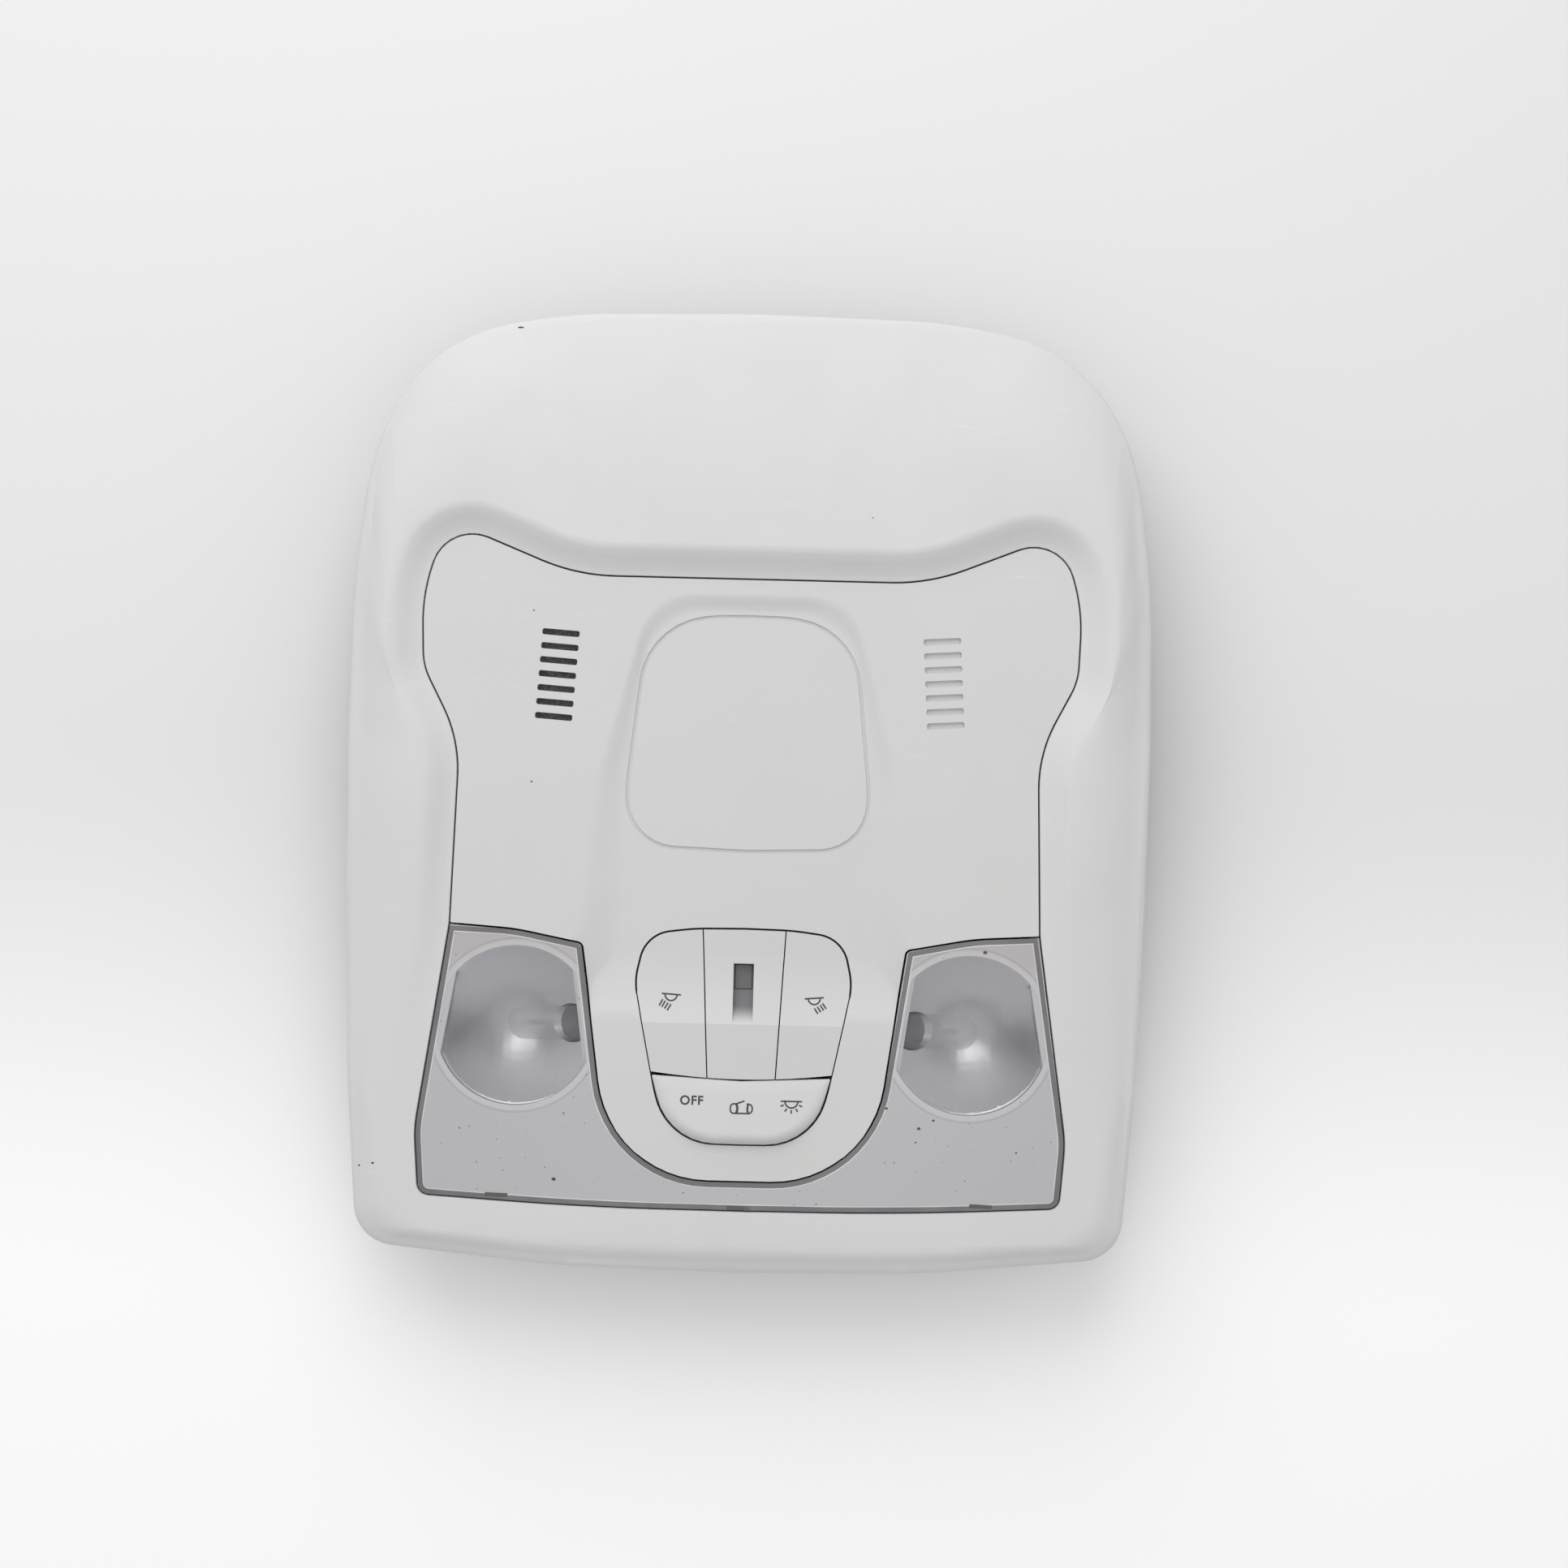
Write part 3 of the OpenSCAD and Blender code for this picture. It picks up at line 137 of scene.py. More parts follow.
# %% Helpers for places on the object
def on_object(tree, *textures):
    """Object coordinates, linked to the Vector socket of each texture that is given."""
    place = add_node(tree, "ShaderNodeTexCoord", "object space")
    for texture in textures:
        tree.links.new(place.outputs["Object"], texture.inputs["Vector"])
    return place.outputs["Object"]


def split_place(tree):
    """The X, Y and Z of Object coordinates as three sockets."""
    parts = add_node(tree, "ShaderNodeSeparateXYZ", "x y z")
    tree.links.new(on_object(tree), parts.inputs[0])
    return parts.outputs["X"], parts.outputs["Y"], parts.outputs["Z"]


print("place helpers ready")

# %% [markdown]
# ## Effects that several finishes share
# Moulded plastic has a fine eroded grain from the tool, wide soft clouds where hands and
# cleaning cloths have been, a few thin scuffs and some specks. One group holds the grain
# and one the marks; each is built once and placed in every material with its own values.

# %% Grain, clouds and scuffs as groups
def new_group(name, inputs, outputs):
    """An empty node group with float inputs and float outputs."""
    group = bpy.data.node_groups.new(name, "ShaderNodeTree")
    for socket, value in inputs.items():
        made = group.interface.new_socket(socket, in_out="INPUT", socket_type="NodeSocketFloat")
        made.default_value = value
    for socket in outputs:
        group.interface.new_socket(socket, in_out="OUTPUT", socket_type="NodeSocketFloat")
    return group, group.nodes.new("NodeGroupInput"), group.nodes.new("NodeGroupOutput")


grain_group, entry, leave = new_group("moulded_grain", {"Scale": 2200.0, "Fineness": 2.0}, ("Height",))
noise = add_node(grain_group, "ShaderNodeTexNoise", "grain", Roughness=0.6)
pits = add_node(grain_group, "ShaderNodeTexVoronoi", "pits", {"feature": "F1"})
on_object(grain_group, noise, pits)
for texture in (noise, pits):
    grain_group.links.new(entry.outputs["Scale"], texture.inputs["Scale"])
grain_group.links.new(entry.outputs["Fineness"], noise.inputs["Detail"])
shallow_pits = calc(grain_group, "MULTIPLY", pits.outputs["Distance"], 0.5)
height = calc(grain_group, "ADD", noise.outputs[0], shallow_pits)
grain_group.links.new(height, leave.inputs["Height"])

cloud_group, entry, leave = new_group(
    "handling_marks", {"Size": 28.0, "Scuff Scale": 60.0}, ("Clouds", "Scuffs", "Specks"))
clouds = add_node(cloud_group, "ShaderNodeTexNoise", "clouds", Detail=4.0, Roughness=0.55, Distortion=0.6)
stretch = add_node(cloud_group, "ShaderNodeMapping", "long marks", Rotation=(0, 0, 0.6), Scale=(1, 7, 1))
scuffs = add_node(cloud_group, "ShaderNodeTexNoise", "scuffs", Detail=3.0, Roughness=0.7, Distortion=1.5)
specks = add_node(cloud_group, "ShaderNodeTexNoise", "specks", Scale=900.0, Detail=1.0)
on_object(cloud_group, clouds, stretch, specks)
cloud_group.links.new(stretch.outputs[0], scuffs.inputs["Vector"])
cloud_group.links.new(entry.outputs["Size"], clouds.inputs["Scale"])
cloud_group.links.new(entry.outputs["Scuff Scale"], scuffs.inputs["Scale"])
for texture, socket, low, high in (
        (clouds, "Clouds", 0.35, 0.7), (scuffs, "Scuffs", 0.66, 0.74), (specks, "Specks", 0.745, 0.78)):
    cloud_group.links.new(ramp(cloud_group, texture.outputs[0], low, high), leave.inputs[socket])
print("groups:", [g.name for g in bpy.data.node_groups])

# %% [markdown]
# ## Plastic
# One recipe serves all moulded plastic. The colour drifts a little with the clouds, the
# scuffs are paler and smoother, and the grain only feeds a bump, because it is far too
# fine to model. Roughness carries most of the feel: a matt tool gives 0.5 to 0.6. The
# switch cover has a deep channel that the photograph shows dark, so the recipe can paint
# shade into a recess: the part of the surface inside a width and below a height.

# %% Material starters
def use_group(tree, group, **values):
    """A shared group placed in a material with its own values."""
    node = tree.nodes.new("ShaderNodeGroup")
    node.node_tree = group
    for key, value in values.items():
        node.inputs[key.replace("_", " ")].default_value = value
    return node


def start_material(name, **sockets):
    """A material with its Principled shader; constants are set on the shader itself."""
    material = bpy.data.materials.new(name)
    material.use_nodes = True
    tree = material.node_tree
    shader = tree.nodes["Principled BSDF"]
    for key, value in sockets.items():
        shader.inputs[key.replace("_", " ")].default_value = value
    return material, tree, shader


def relief(tree, shader, height, label, strength, distance):
    """A bump from a height socket, linked to the shader's normal."""
    bump = add_node(tree, "ShaderNodeBump", label, Strength=strength, Distance=distance)
    tree.links.new(height, bump.inputs["Height"])
    tree.links.new(bump.outputs[0], shader.inputs["Normal"])


print("material starters ready")

# %% Moulded plastic
SOFT_LINE = 0.0001
GRAIN_DEPTH = 0.00003
# Painted shade: a darker colour deep in the switch cover's channel.
PAINTED_RECESS_SHADE = (0.17, 0.17, 0.18, 1)
SHADED_CHANNEL = (0.0026, 0.0343, 0.0381, -0.0423)  # half width, floor, rim, upper end


def painted_shade_mask(tree, half_width, low, high, upper_end):
    """Where shade is painted: 1 deep in a channel along the middle, 0 on its rim and outside it."""
    x, y, z = split_place(tree)
    narrow = ramp(tree, calc(tree, "ABSOLUTE", x), half_width, half_width - SOFT_LINE)
    narrow = calc(tree, "MULTIPLY", narrow, ramp(tree, y, upper_end, upper_end - SOFT_LINE))
    return calc(tree, "MULTIPLY", ramp(tree, z, high, low), narrow)


def moulded_plastic(name, colour, worn, roughness, grain=2200.0, marks=0.5, cloud_size=28.0, shaded_recess=None):
    """Plastic whose colour goes from fresh to worn; marks sets how much the scuffs show, and a recess,
    where given, gets painted shade.
    """
    material, tree, shader = start_material(name, Specular_IOR_Level=0.45)
    handling = use_group(tree, cloud_group, Size=cloud_size)
    cloudy, scuffed = handling.outputs["Clouds"], handling.outputs["Scuffs"]
    drift = blend_colours(tree, calc(tree, "MULTIPLY", cloudy, 0.35), (*colour, 1), (*worn, 1))
    paler = tuple(min(1.0, c * 1.08 + 0.01) for c in colour)
    shade = blend_colours(tree, calc(tree, "MULTIPLY", scuffed, marks), drift, (*paler, 1))
    # Painted shade: a darker colour deep in the recess.
    if shaded_recess:
        shade = blend_colours(tree, painted_shade_mask(tree, *shaded_recess), shade, PAINTED_RECESS_SHADE)
    tree.links.new(shade, shader.inputs["Base Color"])
    rough = calc(tree, "ADD", calc(tree, "MULTIPLY", cloudy, 0.08), roughness)
    rough = calc(tree, "SUBTRACT", rough, calc(tree, "MULTIPLY", scuffed, 0.1))
    tree.links.new(rough, shader.inputs["Roughness"])
    grain_node = use_group(tree, grain_group, Scale=grain)
    relief(tree, shader, grain_node.outputs["Height"], "grain relief", 0.35, GRAIN_DEPTH)
    return material


bezel_grey = moulded_plastic("bezel_grey", (0.685, 0.686, 0.69), (0.655, 0.653, 0.652), 0.5)
panel_grey = moulded_plastic("panel_grey", (0.66, 0.659, 0.656), (0.64, 0.637, 0.63), 0.5)
button_grey = moulded_plastic("button_grey", (0.64, 0.64, 0.645), (0.62, 0.619, 0.615), 0.45, 3000.0, 0.2)
# The channel in the switch cover gets painted shade.
cover_grey = moulded_plastic("cover_grey", (0.64, 0.64, 0.645), (0.62, 0.619, 0.615), 0.45, 3000.0, 0.2,
                             shaded_recess=SHADED_CHANNEL)
window_smoke = moulded_plastic("window_smoke", (0.15, 0.145, 0.145), (0.2, 0.195, 0.195), 0.2, 5000.0, 0.1)
housing_black = moulded_plastic("housing_black", (0.045, 0.046, 0.05), (0.07, 0.07, 0.072), 0.5, 1500.0)
frame_black = moulded_plastic("frame_black", (0.03, 0.03, 0.032), (0.05, 0.05, 0.05), 0.42, 2600.0)
switch_cream = moulded_plastic("switch_cream", (0.72, 0.66, 0.52), (0.66, 0.6, 0.46), 0.35, 3000.0)
print("plastics ready")

# %% [markdown]
# ## Smoky lens
# The lens is one moulding, clear over the reading lamps and frosted everywhere else. A
# mask sets how much shows through. Each window is a circle that is cut straight along
# both sides of the lens, with a paler ring of 1.3 mm, partly a painted highlight on the
# window's rim, and a fine line round it. The two windows mirror each other, so the masks
# read the distance from the middle plane.

# %% Where the lens is clear
LAMP = (0.0563, -0.0588)
LAMP_R = 0.0198
RING_END = LAMP_R + 0.0015
OUTER_CUT = ((0.0707, -0.0428), -0.175)
INNER_CUT = ((0.0416, -0.0472), 0.15)
WIDE_LINE = 0.0002
RING_FADE = 0.0004
FINE_LINE_END = RING_END + 0.0006


def below_line(tree, x, y, point, slope):
    """1 where x lies under a slanting line through point, 0 beyond it."""
    line = calc(tree, "MULTIPLY", calc(tree, "SUBTRACT", y, point[1]), slope)
    line = calc(tree, "ADD", line, point[0])
    return ramp(tree, calc(tree, "SUBTRACT", line, x), -SOFT_LINE, SOFT_LINE)


def band(tree, distance, start, end, fade=WIDE_LINE):
    """1 between two distances; fade is the width of the outer edge."""
    rise = ramp(tree, distance, start, start + WIDE_LINE)
    return calc(tree, "MULTIPLY", rise, ramp(tree, distance, end, end - fade))


def lamp_masks(tree):
    """The clear window, the paler ring of partly painted highlight and the fine line, and the height on the
    face.
    """
    x, along_y, _ = split_place(tree)
    side_x = calc(tree, "ABSOLUTE", x)
    across, along = calc(tree, "SUBTRACT", side_x, LAMP[0]), calc(tree, "SUBTRACT", along_y, LAMP[1])
    squares = [calc(tree, "MULTIPLY", d, d) for d in (across, along)]
    reach = calc(tree, "SQRT", calc(tree, "ADD", *squares))
    inside = ramp(tree, reach, LAMP_R + SOFT_LINE, LAMP_R - SOFT_LINE)
    inside = calc(tree, "MULTIPLY", inside, below_line(tree, side_x, along_y, *OUTER_CUT))
    past_inner = calc(tree, "SUBTRACT", 1.0, below_line(tree, side_x, along_y, *INNER_CUT))
    inside = calc(tree, "MULTIPLY", inside, past_inner)
    ring = band(tree, reach, LAMP_R, RING_END, RING_FADE)
    return inside, ring, band(tree, reach, RING_END, FINE_LINE_END), along_y


print("each window is", round(2 * LAMP_R / MM, 1), "mm across")

# %% Lens colours
TINT_START, TINT_END = -0.046, -0.040
FROSTED_ALPHA, CLEAR_ALPHA = 0.92, 0.2
lens_grey, tree, shader = start_material("lens_grey", Roughness=0.2, Specular_IOR_Level=0.5, IOR=1.49)
inside, ring, line, along_y = lamp_masks(tree)
lens_marks = use_group(tree, cloud_group, Size=40.0, Scuff_Scale=110.0)
upper = ramp(tree, along_y, TINT_START, TINT_END)
base = blend_colours(tree, upper, (0.53, 0.53, 0.545, 1), (0.51, 0.482, 0.487, 1))
# The paler ring is partly a painted highlight on the window's rim.
for mask, strength, colour in (
        (ring, 0.45, (0.64, 0.63, 0.64, 1)), (line, 0.4, (0.32, 0.32, 0.33, 1)),
        (lens_marks.outputs["Scuffs"], 0.12, (0.6, 0.6, 0.6, 1))):
    base = blend_colours(tree, calc(tree, "MULTIPLY", mask, strength), base, colour)
base = blend_colours(tree, lens_marks.outputs["Specks"], base, (0.2, 0.19, 0.18, 1))
base = blend_colours(tree, inside, base, (0.21, 0.205, 0.22, 1))
tree.links.new(base, shader.inputs["Base Color"])
tree.links.new(ramp(tree, inside, 0, 1, FROSTED_ALPHA, CLEAR_ALPHA), shader.inputs["Alpha"])
grain_node = use_group(tree, grain_group, Scale=3500.0)
frosted = calc(tree, "SUBTRACT", 1.0, inside)
frosting = calc(tree, "MULTIPLY", grain_node.outputs["Height"], frosted)
relief(tree, shader, frosting, "frosting", 0.1, GRAIN_DEPTH)


def rim_material(name, roughness, colour, worn):
    """A finish for the edge of the lens: the dark band seen through its thickness, and the painted
    highlight of its lip.
    """
    material, tree, shader = start_material(name, Roughness=roughness, Specular_IOR_Level=0.5, IOR=1.49)
    handling = use_group(tree, cloud_group, Size=60.0, Scuff_Scale=150.0)
    shade = blend_colours(tree, handling.outputs["Clouds"], colour, worn)
    tree.links.new(shade, shader.inputs["Base Color"])
    return material


lens_edge = rim_material("lens_edge", 0.25, (0.15, 0.15, 0.16, 1), (0.19, 0.187, 0.19, 1))
# The lip's pale colour is a painted highlight on the lens's inner bevel.
lens_lip_highlight = rim_material("lens_lip_highlight", 0.15, (0.58, 0.57, 0.58, 1), (0.70, 0.69, 0.69, 1))
print("lens ready")

# %% [markdown]
# ## Metal and glass inside the lamps
# The bowls are plastic under a vapour-deposited film: a real mirror, but pressed with
# fine upright flutes that spread the beam. The flutes are a wave in the bump. Bulb glass
# is thin, so a low alpha with a glossy coat reads better than slow refraction.

# %% Mirror film and bulb glass
mirror_film, tree, shader = start_material("mirror_film", Metallic=1.0)
flutes = add_node(tree, "ShaderNodeTexWave", "flutes", {"bands_direction": "X"},
                  Scale=150.0, Distortion=0.0)
haze = add_node(tree, "ShaderNodeTexNoise", "film haze", Scale=60.0, Detail=2.0)
on_object(tree, flutes, haze)
relief(tree, shader, flutes.outputs[0], "flute relief", 0.15, 0.00006)
film = blend_colours(tree, haze.outputs[0], (0.79, 0.79, 0.81, 1), (0.84, 0.84, 0.86, 1))
tree.links.new(film, shader.inputs["Base Color"])
tree.links.new(ramp(tree, haze.outputs[0], 0.3, 0.8, 0.30, 0.36), shader.inputs["Roughness"])

bulb_glass, tree, shader = start_material(
    "bulb_glass", Roughness=0.05, Coat_Weight=1.0, Coat_Roughness=0.02, IOR=1.5)
haze = add_node(tree, "ShaderNodeTexNoise", "glass haze", Scale=300.0, Detail=3.0)
on_object(tree, haze)
glass = blend_colours(tree, haze.outputs[0], (0.82, 0.83, 0.85, 1), (0.9, 0.9, 0.9, 1))
tree.links.new(glass, shader.inputs["Base Color"])
tree.links.new(ramp(tree, haze.outputs[0], 0.3, 0.8, 0.12, 0.2), shader.inputs["Alpha"])
print("film and glass ready")

# %% [markdown]
# ## Screws, clips and contacts
# Plated steel and brass strip share one recipe. Fine lines run along the drawing
# direction and change only the roughness and the bump, so the metal glints unevenly.

# %% Bare metal
def bare_metal(name, colour, tint, roughness):
    """Plated or stamped metal with fine drawing lines and a mottled tone."""
    material, tree, shader = start_material(name, Metallic=1.0)
    turn = add_node(tree, "ShaderNodeMapping", "drawing direction", Scale=(1, 14, 1))
    lines = add_node(tree, "ShaderNodeTexNoise", "drawing lines", Scale=700.0, Detail=3.0, Roughness=0.6)
    mottle = add_node(tree, "ShaderNodeTexNoise", "mottle", Scale=180.0, Detail=2.0)
    on_object(tree, turn, mottle)
    tree.links.new(turn.outputs[0], lines.inputs["Vector"])
    tone = blend_colours(tree, mottle.outputs[0], (*colour, 1), (*tint, 1))
    tree.links.new(tone, shader.inputs["Base Color"])
    rough = ramp(tree, lines.outputs[0], 0.3, 0.7, roughness - 0.08, roughness + 0.12)
    tree.links.new(rough, shader.inputs["Roughness"])
    relief(tree, shader, lines.outputs[0], "line relief", 0.3, 0.00002)
    return material


zinc_steel = bare_metal("zinc_steel", (0.58, 0.59, 0.62), (0.68, 0.67, 0.62), 0.34)
contact_brass = bare_metal("contact_brass", (0.72, 0.52, 0.24), (0.6, 0.42, 0.2), 0.32)
print("metals ready")

# %% [markdown]
# ## Board, foam and cases
# The circuit boards get copper tracks under green lacquer from a brick pattern that a
# broad noise switches on and off. The foam behind the grille is the only one of these
# that the photograph shows, as the grey in the slots.

# %% Circuit board, foam, switch cases, diffuser and ink
board_green, tree, shader = start_material(
    "board_green", Specular_IOR_Level=0.5, Coat_Weight=0.4, Coat_Roughness=0.15)
tracks = add_node(tree, "ShaderNodeTexBrick", "tracks", {"offset": 0.5},
                  Scale=180.0, Mortar_Size=0.03, Row_Height=0.35, Brick_Width=1.6)
mask = add_node(tree, "ShaderNodeTexNoise", "track areas", Scale=60.0, Detail=1.0)
on_object(tree, tracks, mask)
where = calc(tree, "MULTIPLY", tracks.outputs["Fac"], ramp(tree, mask.outputs[0], 0.42, 0.5))
lacquer = blend_colours(tree, where, (0.015, 0.10, 0.045, 1), (0.05, 0.22, 0.09, 1))
tree.links.new(lacquer, shader.inputs["Base Color"])
tree.links.new(ramp(tree, where, 0, 1, 0.38, 0.28), shader.inputs["Roughness"])

foam_grey, tree, shader = start_material("foam_grey", Specular_IOR_Level=0.2, Sheen_Weight=0.3)
pores = add_node(tree, "ShaderNodeTexVoronoi", "pores", Scale=1600.0)
on_object(tree, pores)
open_cell = pores.outputs["Distance"]
foam = blend_colours(tree, open_cell, (0.06, 0.06, 0.062, 1), (0.18, 0.18, 0.183, 1))
tree.links.new(foam, shader.inputs["Base Color"])
tree.links.new(ramp(tree, open_cell, 0, 1, 0.95, 0.8), shader.inputs["Roughness"])
relief(tree, shader, open_cell, "pore relief", 0.8, 0.0002)

part_case, tree, shader = start_material("part_case", Specular_IOR_Level=0.45)
speckle = add_node(tree, "ShaderNodeTexNoise", "case speckle", Scale=1200.0, Detail=2.0)
on_object(tree, speckle)
case = blend_colours(tree, speckle.outputs[0], (0.025, 0.026, 0.03, 1), (0.07, 0.07, 0.08, 1))
tree.links.new(case, shader.inputs["Base Color"])
tree.links.new(ramp(tree, speckle.outputs[0], 0.3, 0.7, 0.3, 0.5), shader.inputs["Roughness"])

diffuser_white = moulded_plastic("diffuser_white", (0.56, 0.56, 0.57), (0.52, 0.52, 0.52), 0.6, marks=0.1)
sign_ink = moulded_plastic("sign_ink", (0.04, 0.04, 0.045), (0.075, 0.075, 0.08), 0.55, 5000.0, 0.0,
                           cloud_size=900.0)
print("materials:", len(bpy.data.materials))

# %% [markdown]
# ## Dressing the CAD solids
# A CAD node arrives as loose triangles with razor edges. A copy is merged, its flat areas
# are cleaned of needless edges, a small bevel rounds what a mould would round, and the
# normals are weighted by face so that broad faces stay flat. The copy then stands for the
# node and rides on the same body.
#
# Round the buttons the solids leave the room that the tools need, but the photograph shows
# hairline seams. So the upright walls of those copies move outwards by a tenth of a
# millimetre. The walls along the upper line of the rocker stay, because the pressed
# buttons swing towards it there.

# %% Narrower seams round the buttons
ROCKER_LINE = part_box("dome_rocker")[1][1] - 0.001
NEAR_LINE = 0.004
FACING, UPRIGHT = 0.8, 0.3
GROUP_LOW, GROUP_HIGH = (-0.031, -0.0895, FACE - 0.0034), (0.031, -0.030, FACE + 0.006)
CHANNEL_HALF, CHANNEL_LOW, CHANNEL_HIGH = 0.004, -0.058, -0.0415


def is_seam_wall(face):
    """True for an upright wall of the group that is not in the channel or by the rocker's line."""
    middle = face.calc_center_median()
    in_channel = abs(middle.x) < CHANNEL_HALF and CHANNEL_LOW < middle.y < CHANNEL_HIGH
    beside_rocker = abs(middle.y - ROCKER_LINE) < NEAR_LINE and abs(face.normal.y) > FACING
    upright = abs(face.normal.z) < UPRIGHT and not in_channel and not beside_rocker
    return upright and all(a < m < b for a, m, b in zip(GROUP_LOW, middle, GROUP_HIGH))


def close_seam(bm, amount):
    """Moves the seam walls outwards by a little; returns how many points moved."""
    moves = {}
    for face in bm.faces:
        if is_seam_wall(face):
            outwards = Vector((face.normal.x, face.normal.y, 0)) * face.calc_area()
            for vert in face.verts:
                moves[vert] = moves.get(vert, Vector()) + outwards
    for vert, move in moves.items():
        if move.length > 0:
            vert.co += move.normalized() * amount
    return len(moves)


print("the rocker's upper line is at y =", round(ROCKER_LINE / MM, 2), "mm")

# %% Helpers for pieces and their meshes
def new_piece(name, mesh, body=None):
    """An object for a mesh, riding on a body where one is named."""
    piece = bpy.data.objects.new(name, mesh)
    bpy.context.scene.collection.objects.link(piece)
    if body:
        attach(piece, body)
    return piece


def mesh_from(bm, name, *materials):
    """Turns a finished bmesh into a mesh with its materials."""
    mesh = bpy.data.meshes.new(name)
    bm.to_mesh(mesh)
    bm.free()
    for material in materials:
        mesh.materials.append(material)
    return mesh


def soften_edges(piece, width, sharp):
    """A small bevel on the sharp edges, with normals that keep the broad faces flat."""
    edge = piece.modifiers.new("soft_edge", "BEVEL")
    edge.width = width
    edge.segments = 2
    edge.limit_method = "ANGLE"
    edge.angle_limit = math.radians(sharp)
    edge.use_clamp_overlap = True
    weight = piece.modifiers.new("flat_faces", "WEIGHTED_NORMAL")
    weight.keep_sharp = True


print("piece helpers ready")

# %% A function that dresses a node
MERGE = 0.000002
FLAT_ANGLE = math.radians(0.3)
finished = {}


def dress(node, material, bevel=0.00018, sharp=32.0, snug=0):
    """The finished copy of a CAD node; lengths in metres, the sharp angle in degrees."""
    mesh = nodes[node].data.copy()
    mesh.name = node + "_skin"
    bm = bmesh.new()
    bm.from_mesh(mesh)
    bmesh.ops.remove_doubles(bm, verts=bm.verts, dist=MERGE)
    bmesh.ops.dissolve_limit(bm, angle_limit=FLAT_ANGLE, verts=bm.verts, edges=bm.edges)
    if snug:
        print("seam closed at", close_seam(bm, snug), "points of", node)
    bm.to_mesh(mesh)
    bm.free()
    mesh.materials.clear()
    mesh.materials.append(material)
    mesh.shade_smooth()
    mesh.set_sharp_from_angle(angle=math.radians(sharp))
    piece = new_piece(node + "_finished", mesh)
    if bevel:
        soften_edges(piece, bevel, sharp)
    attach(piece, body_of_node[node])
    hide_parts(node)
    finished[node] = piece
    print("dressed", node, len(mesh.polygons), "faces")


print("ready to dress", len(nodes), "nodes")

# %% Dress the visible mouldings
SNUG = 0.0001
dress("outer_bezel", bezel_grey, bevel=0.0002, sharp=40)
dress("centre_panel", panel_grey, bevel=0.00015, snug=SNUG)
dress("left_reading_button", button_grey, bevel=0.0001, snug=SNUG)
dress("right_reading_button", button_grey, bevel=0.0001, snug=SNUG)
dress("centre_switch_cover", cover_grey, bevel=0.0001, snug=SNUG)
dress("dome_rocker", button_grey, bevel=0.0001, snug=0.8 * SNUG)
dress("lamp_lens", lens_grey, bevel=0.0002)

# %% [markdown]
# ## Edge of the lens
# The rim of the lens is seen edge on through its own thickness, so it looks like a dark
# band, and the fine bright lip inside it is a painted highlight. A copy of the top face,
# with its tiny corner arcs merged, is inset twice, and the two ribbons are kept as a thin
# piece just above the lens.

# %% Dark band and bright lip, a painted highlight, along the edge of the lens
BAND_WIDTH, LIP_WIDTH, BAND_LIFT = 0.0012, 0.0003, 0.00003
ARC_MERGE = 0.0009
LEVEL, TOP_STEP = 0.99, 0.00005
bm = bmesh.new()
bm.from_mesh(finished["lamp_lens"].data)
top_z = max(v.co.z for v in bm.verts)
lower = [f for f in bm.faces if f.normal.z < LEVEL or f.calc_center_median().z < top_z - TOP_STEP]
bmesh.ops.delete(bm, geom=lower, context="FACES")
bmesh.ops.remove_doubles(bm, verts=bm.verts, dist=ARC_MERGE)
bmesh.ops.triangulate(bm, faces=bm.faces)
ribbon = set()
# The inner ribbon carries the lip's painted highlight.
for index, width in enumerate((BAND_WIDTH, LIP_WIDTH)):
    middle = [f for f in bm.faces if f not in ribbon]
    made = bmesh.ops.inset_region(bm, faces=middle, thickness=width, depth=0,
                                  use_even_offset=True, use_boundary=True)
    for face in made["faces"]:
        face.material_index = index
    ribbon.update(made["faces"])
bmesh.ops.delete(bm, geom=[f for f in bm.faces if f not in ribbon], context="FACES")
bmesh.ops.translate(bm, verts=bm.verts, vec=(0, 0, BAND_LIFT))
band_mesh = mesh_from(bm, "lens_rim_band", lens_edge, lens_lip_highlight)
rim_band = new_piece("lens_rim_band", band_mesh, body_of_node["lamp_lens"])
print("lens band", len(band_mesh.polygons), "faces")

# %% [markdown]
# ## Behind the face
# The rest is hidden once the console is in the roof: lamps, switches, boards, housing and
# fixings. They get the same treatment, and plain finishes that a fitter would know.

# %% Dress what lies behind
dress("light_diffuser", diffuser_white, bevel=0.0001)
for side in ("left", "right"):
    dress(side + "_reflector", mirror_film, bevel=0)
    dress(side + "_reading_bulb", bulb_glass, bevel=0)
    dress(side + "_bulb_holder", frame_black)
    dress(side + "_switch", part_case)
    dress(side + "_plunger", switch_cream)
dress("courtesy_bulbs", bulb_glass, bevel=0)
dress("courtesy_contacts", contact_brass, bevel=0.0001)
dress("switch_frame", frame_black)
dress("switch_board", board_green, bevel=0)
dress("mode_switch", part_case)
dress("contact_slider", switch_cream)
dress("board_link_pins", contact_brass, bevel=0.00008)
dress("ambient_light_window", window_smoke, bevel=0.0001)
dress("ambient_led", switch_cream)
dress("microphone_foam", foam_grey, bevel=0.0003)
dress("microphone_capsule", zinc_steel)
dress("microphone_holder", frame_black)
dress("lamp_housing", housing_black, bevel=0.0003)
dress("rear_cover", housing_black, bevel=0.0003)
dress("circuit_board", board_green, bevel=0)
dress("board_parts", part_case)
dress("connector_header", frame_black)
dress("connector_pins", contact_brass, bevel=0.00008)
for screws in ("housing_screws", "panel_screws", "cover_screws"):
    dress(screws, zinc_steel)
for fixing in ("spring_clips", "locating_pins"):
    dress(fixing, zinc_steel, bevel=0.0001)
print("dressed", len(finished), "of", len(nodes))

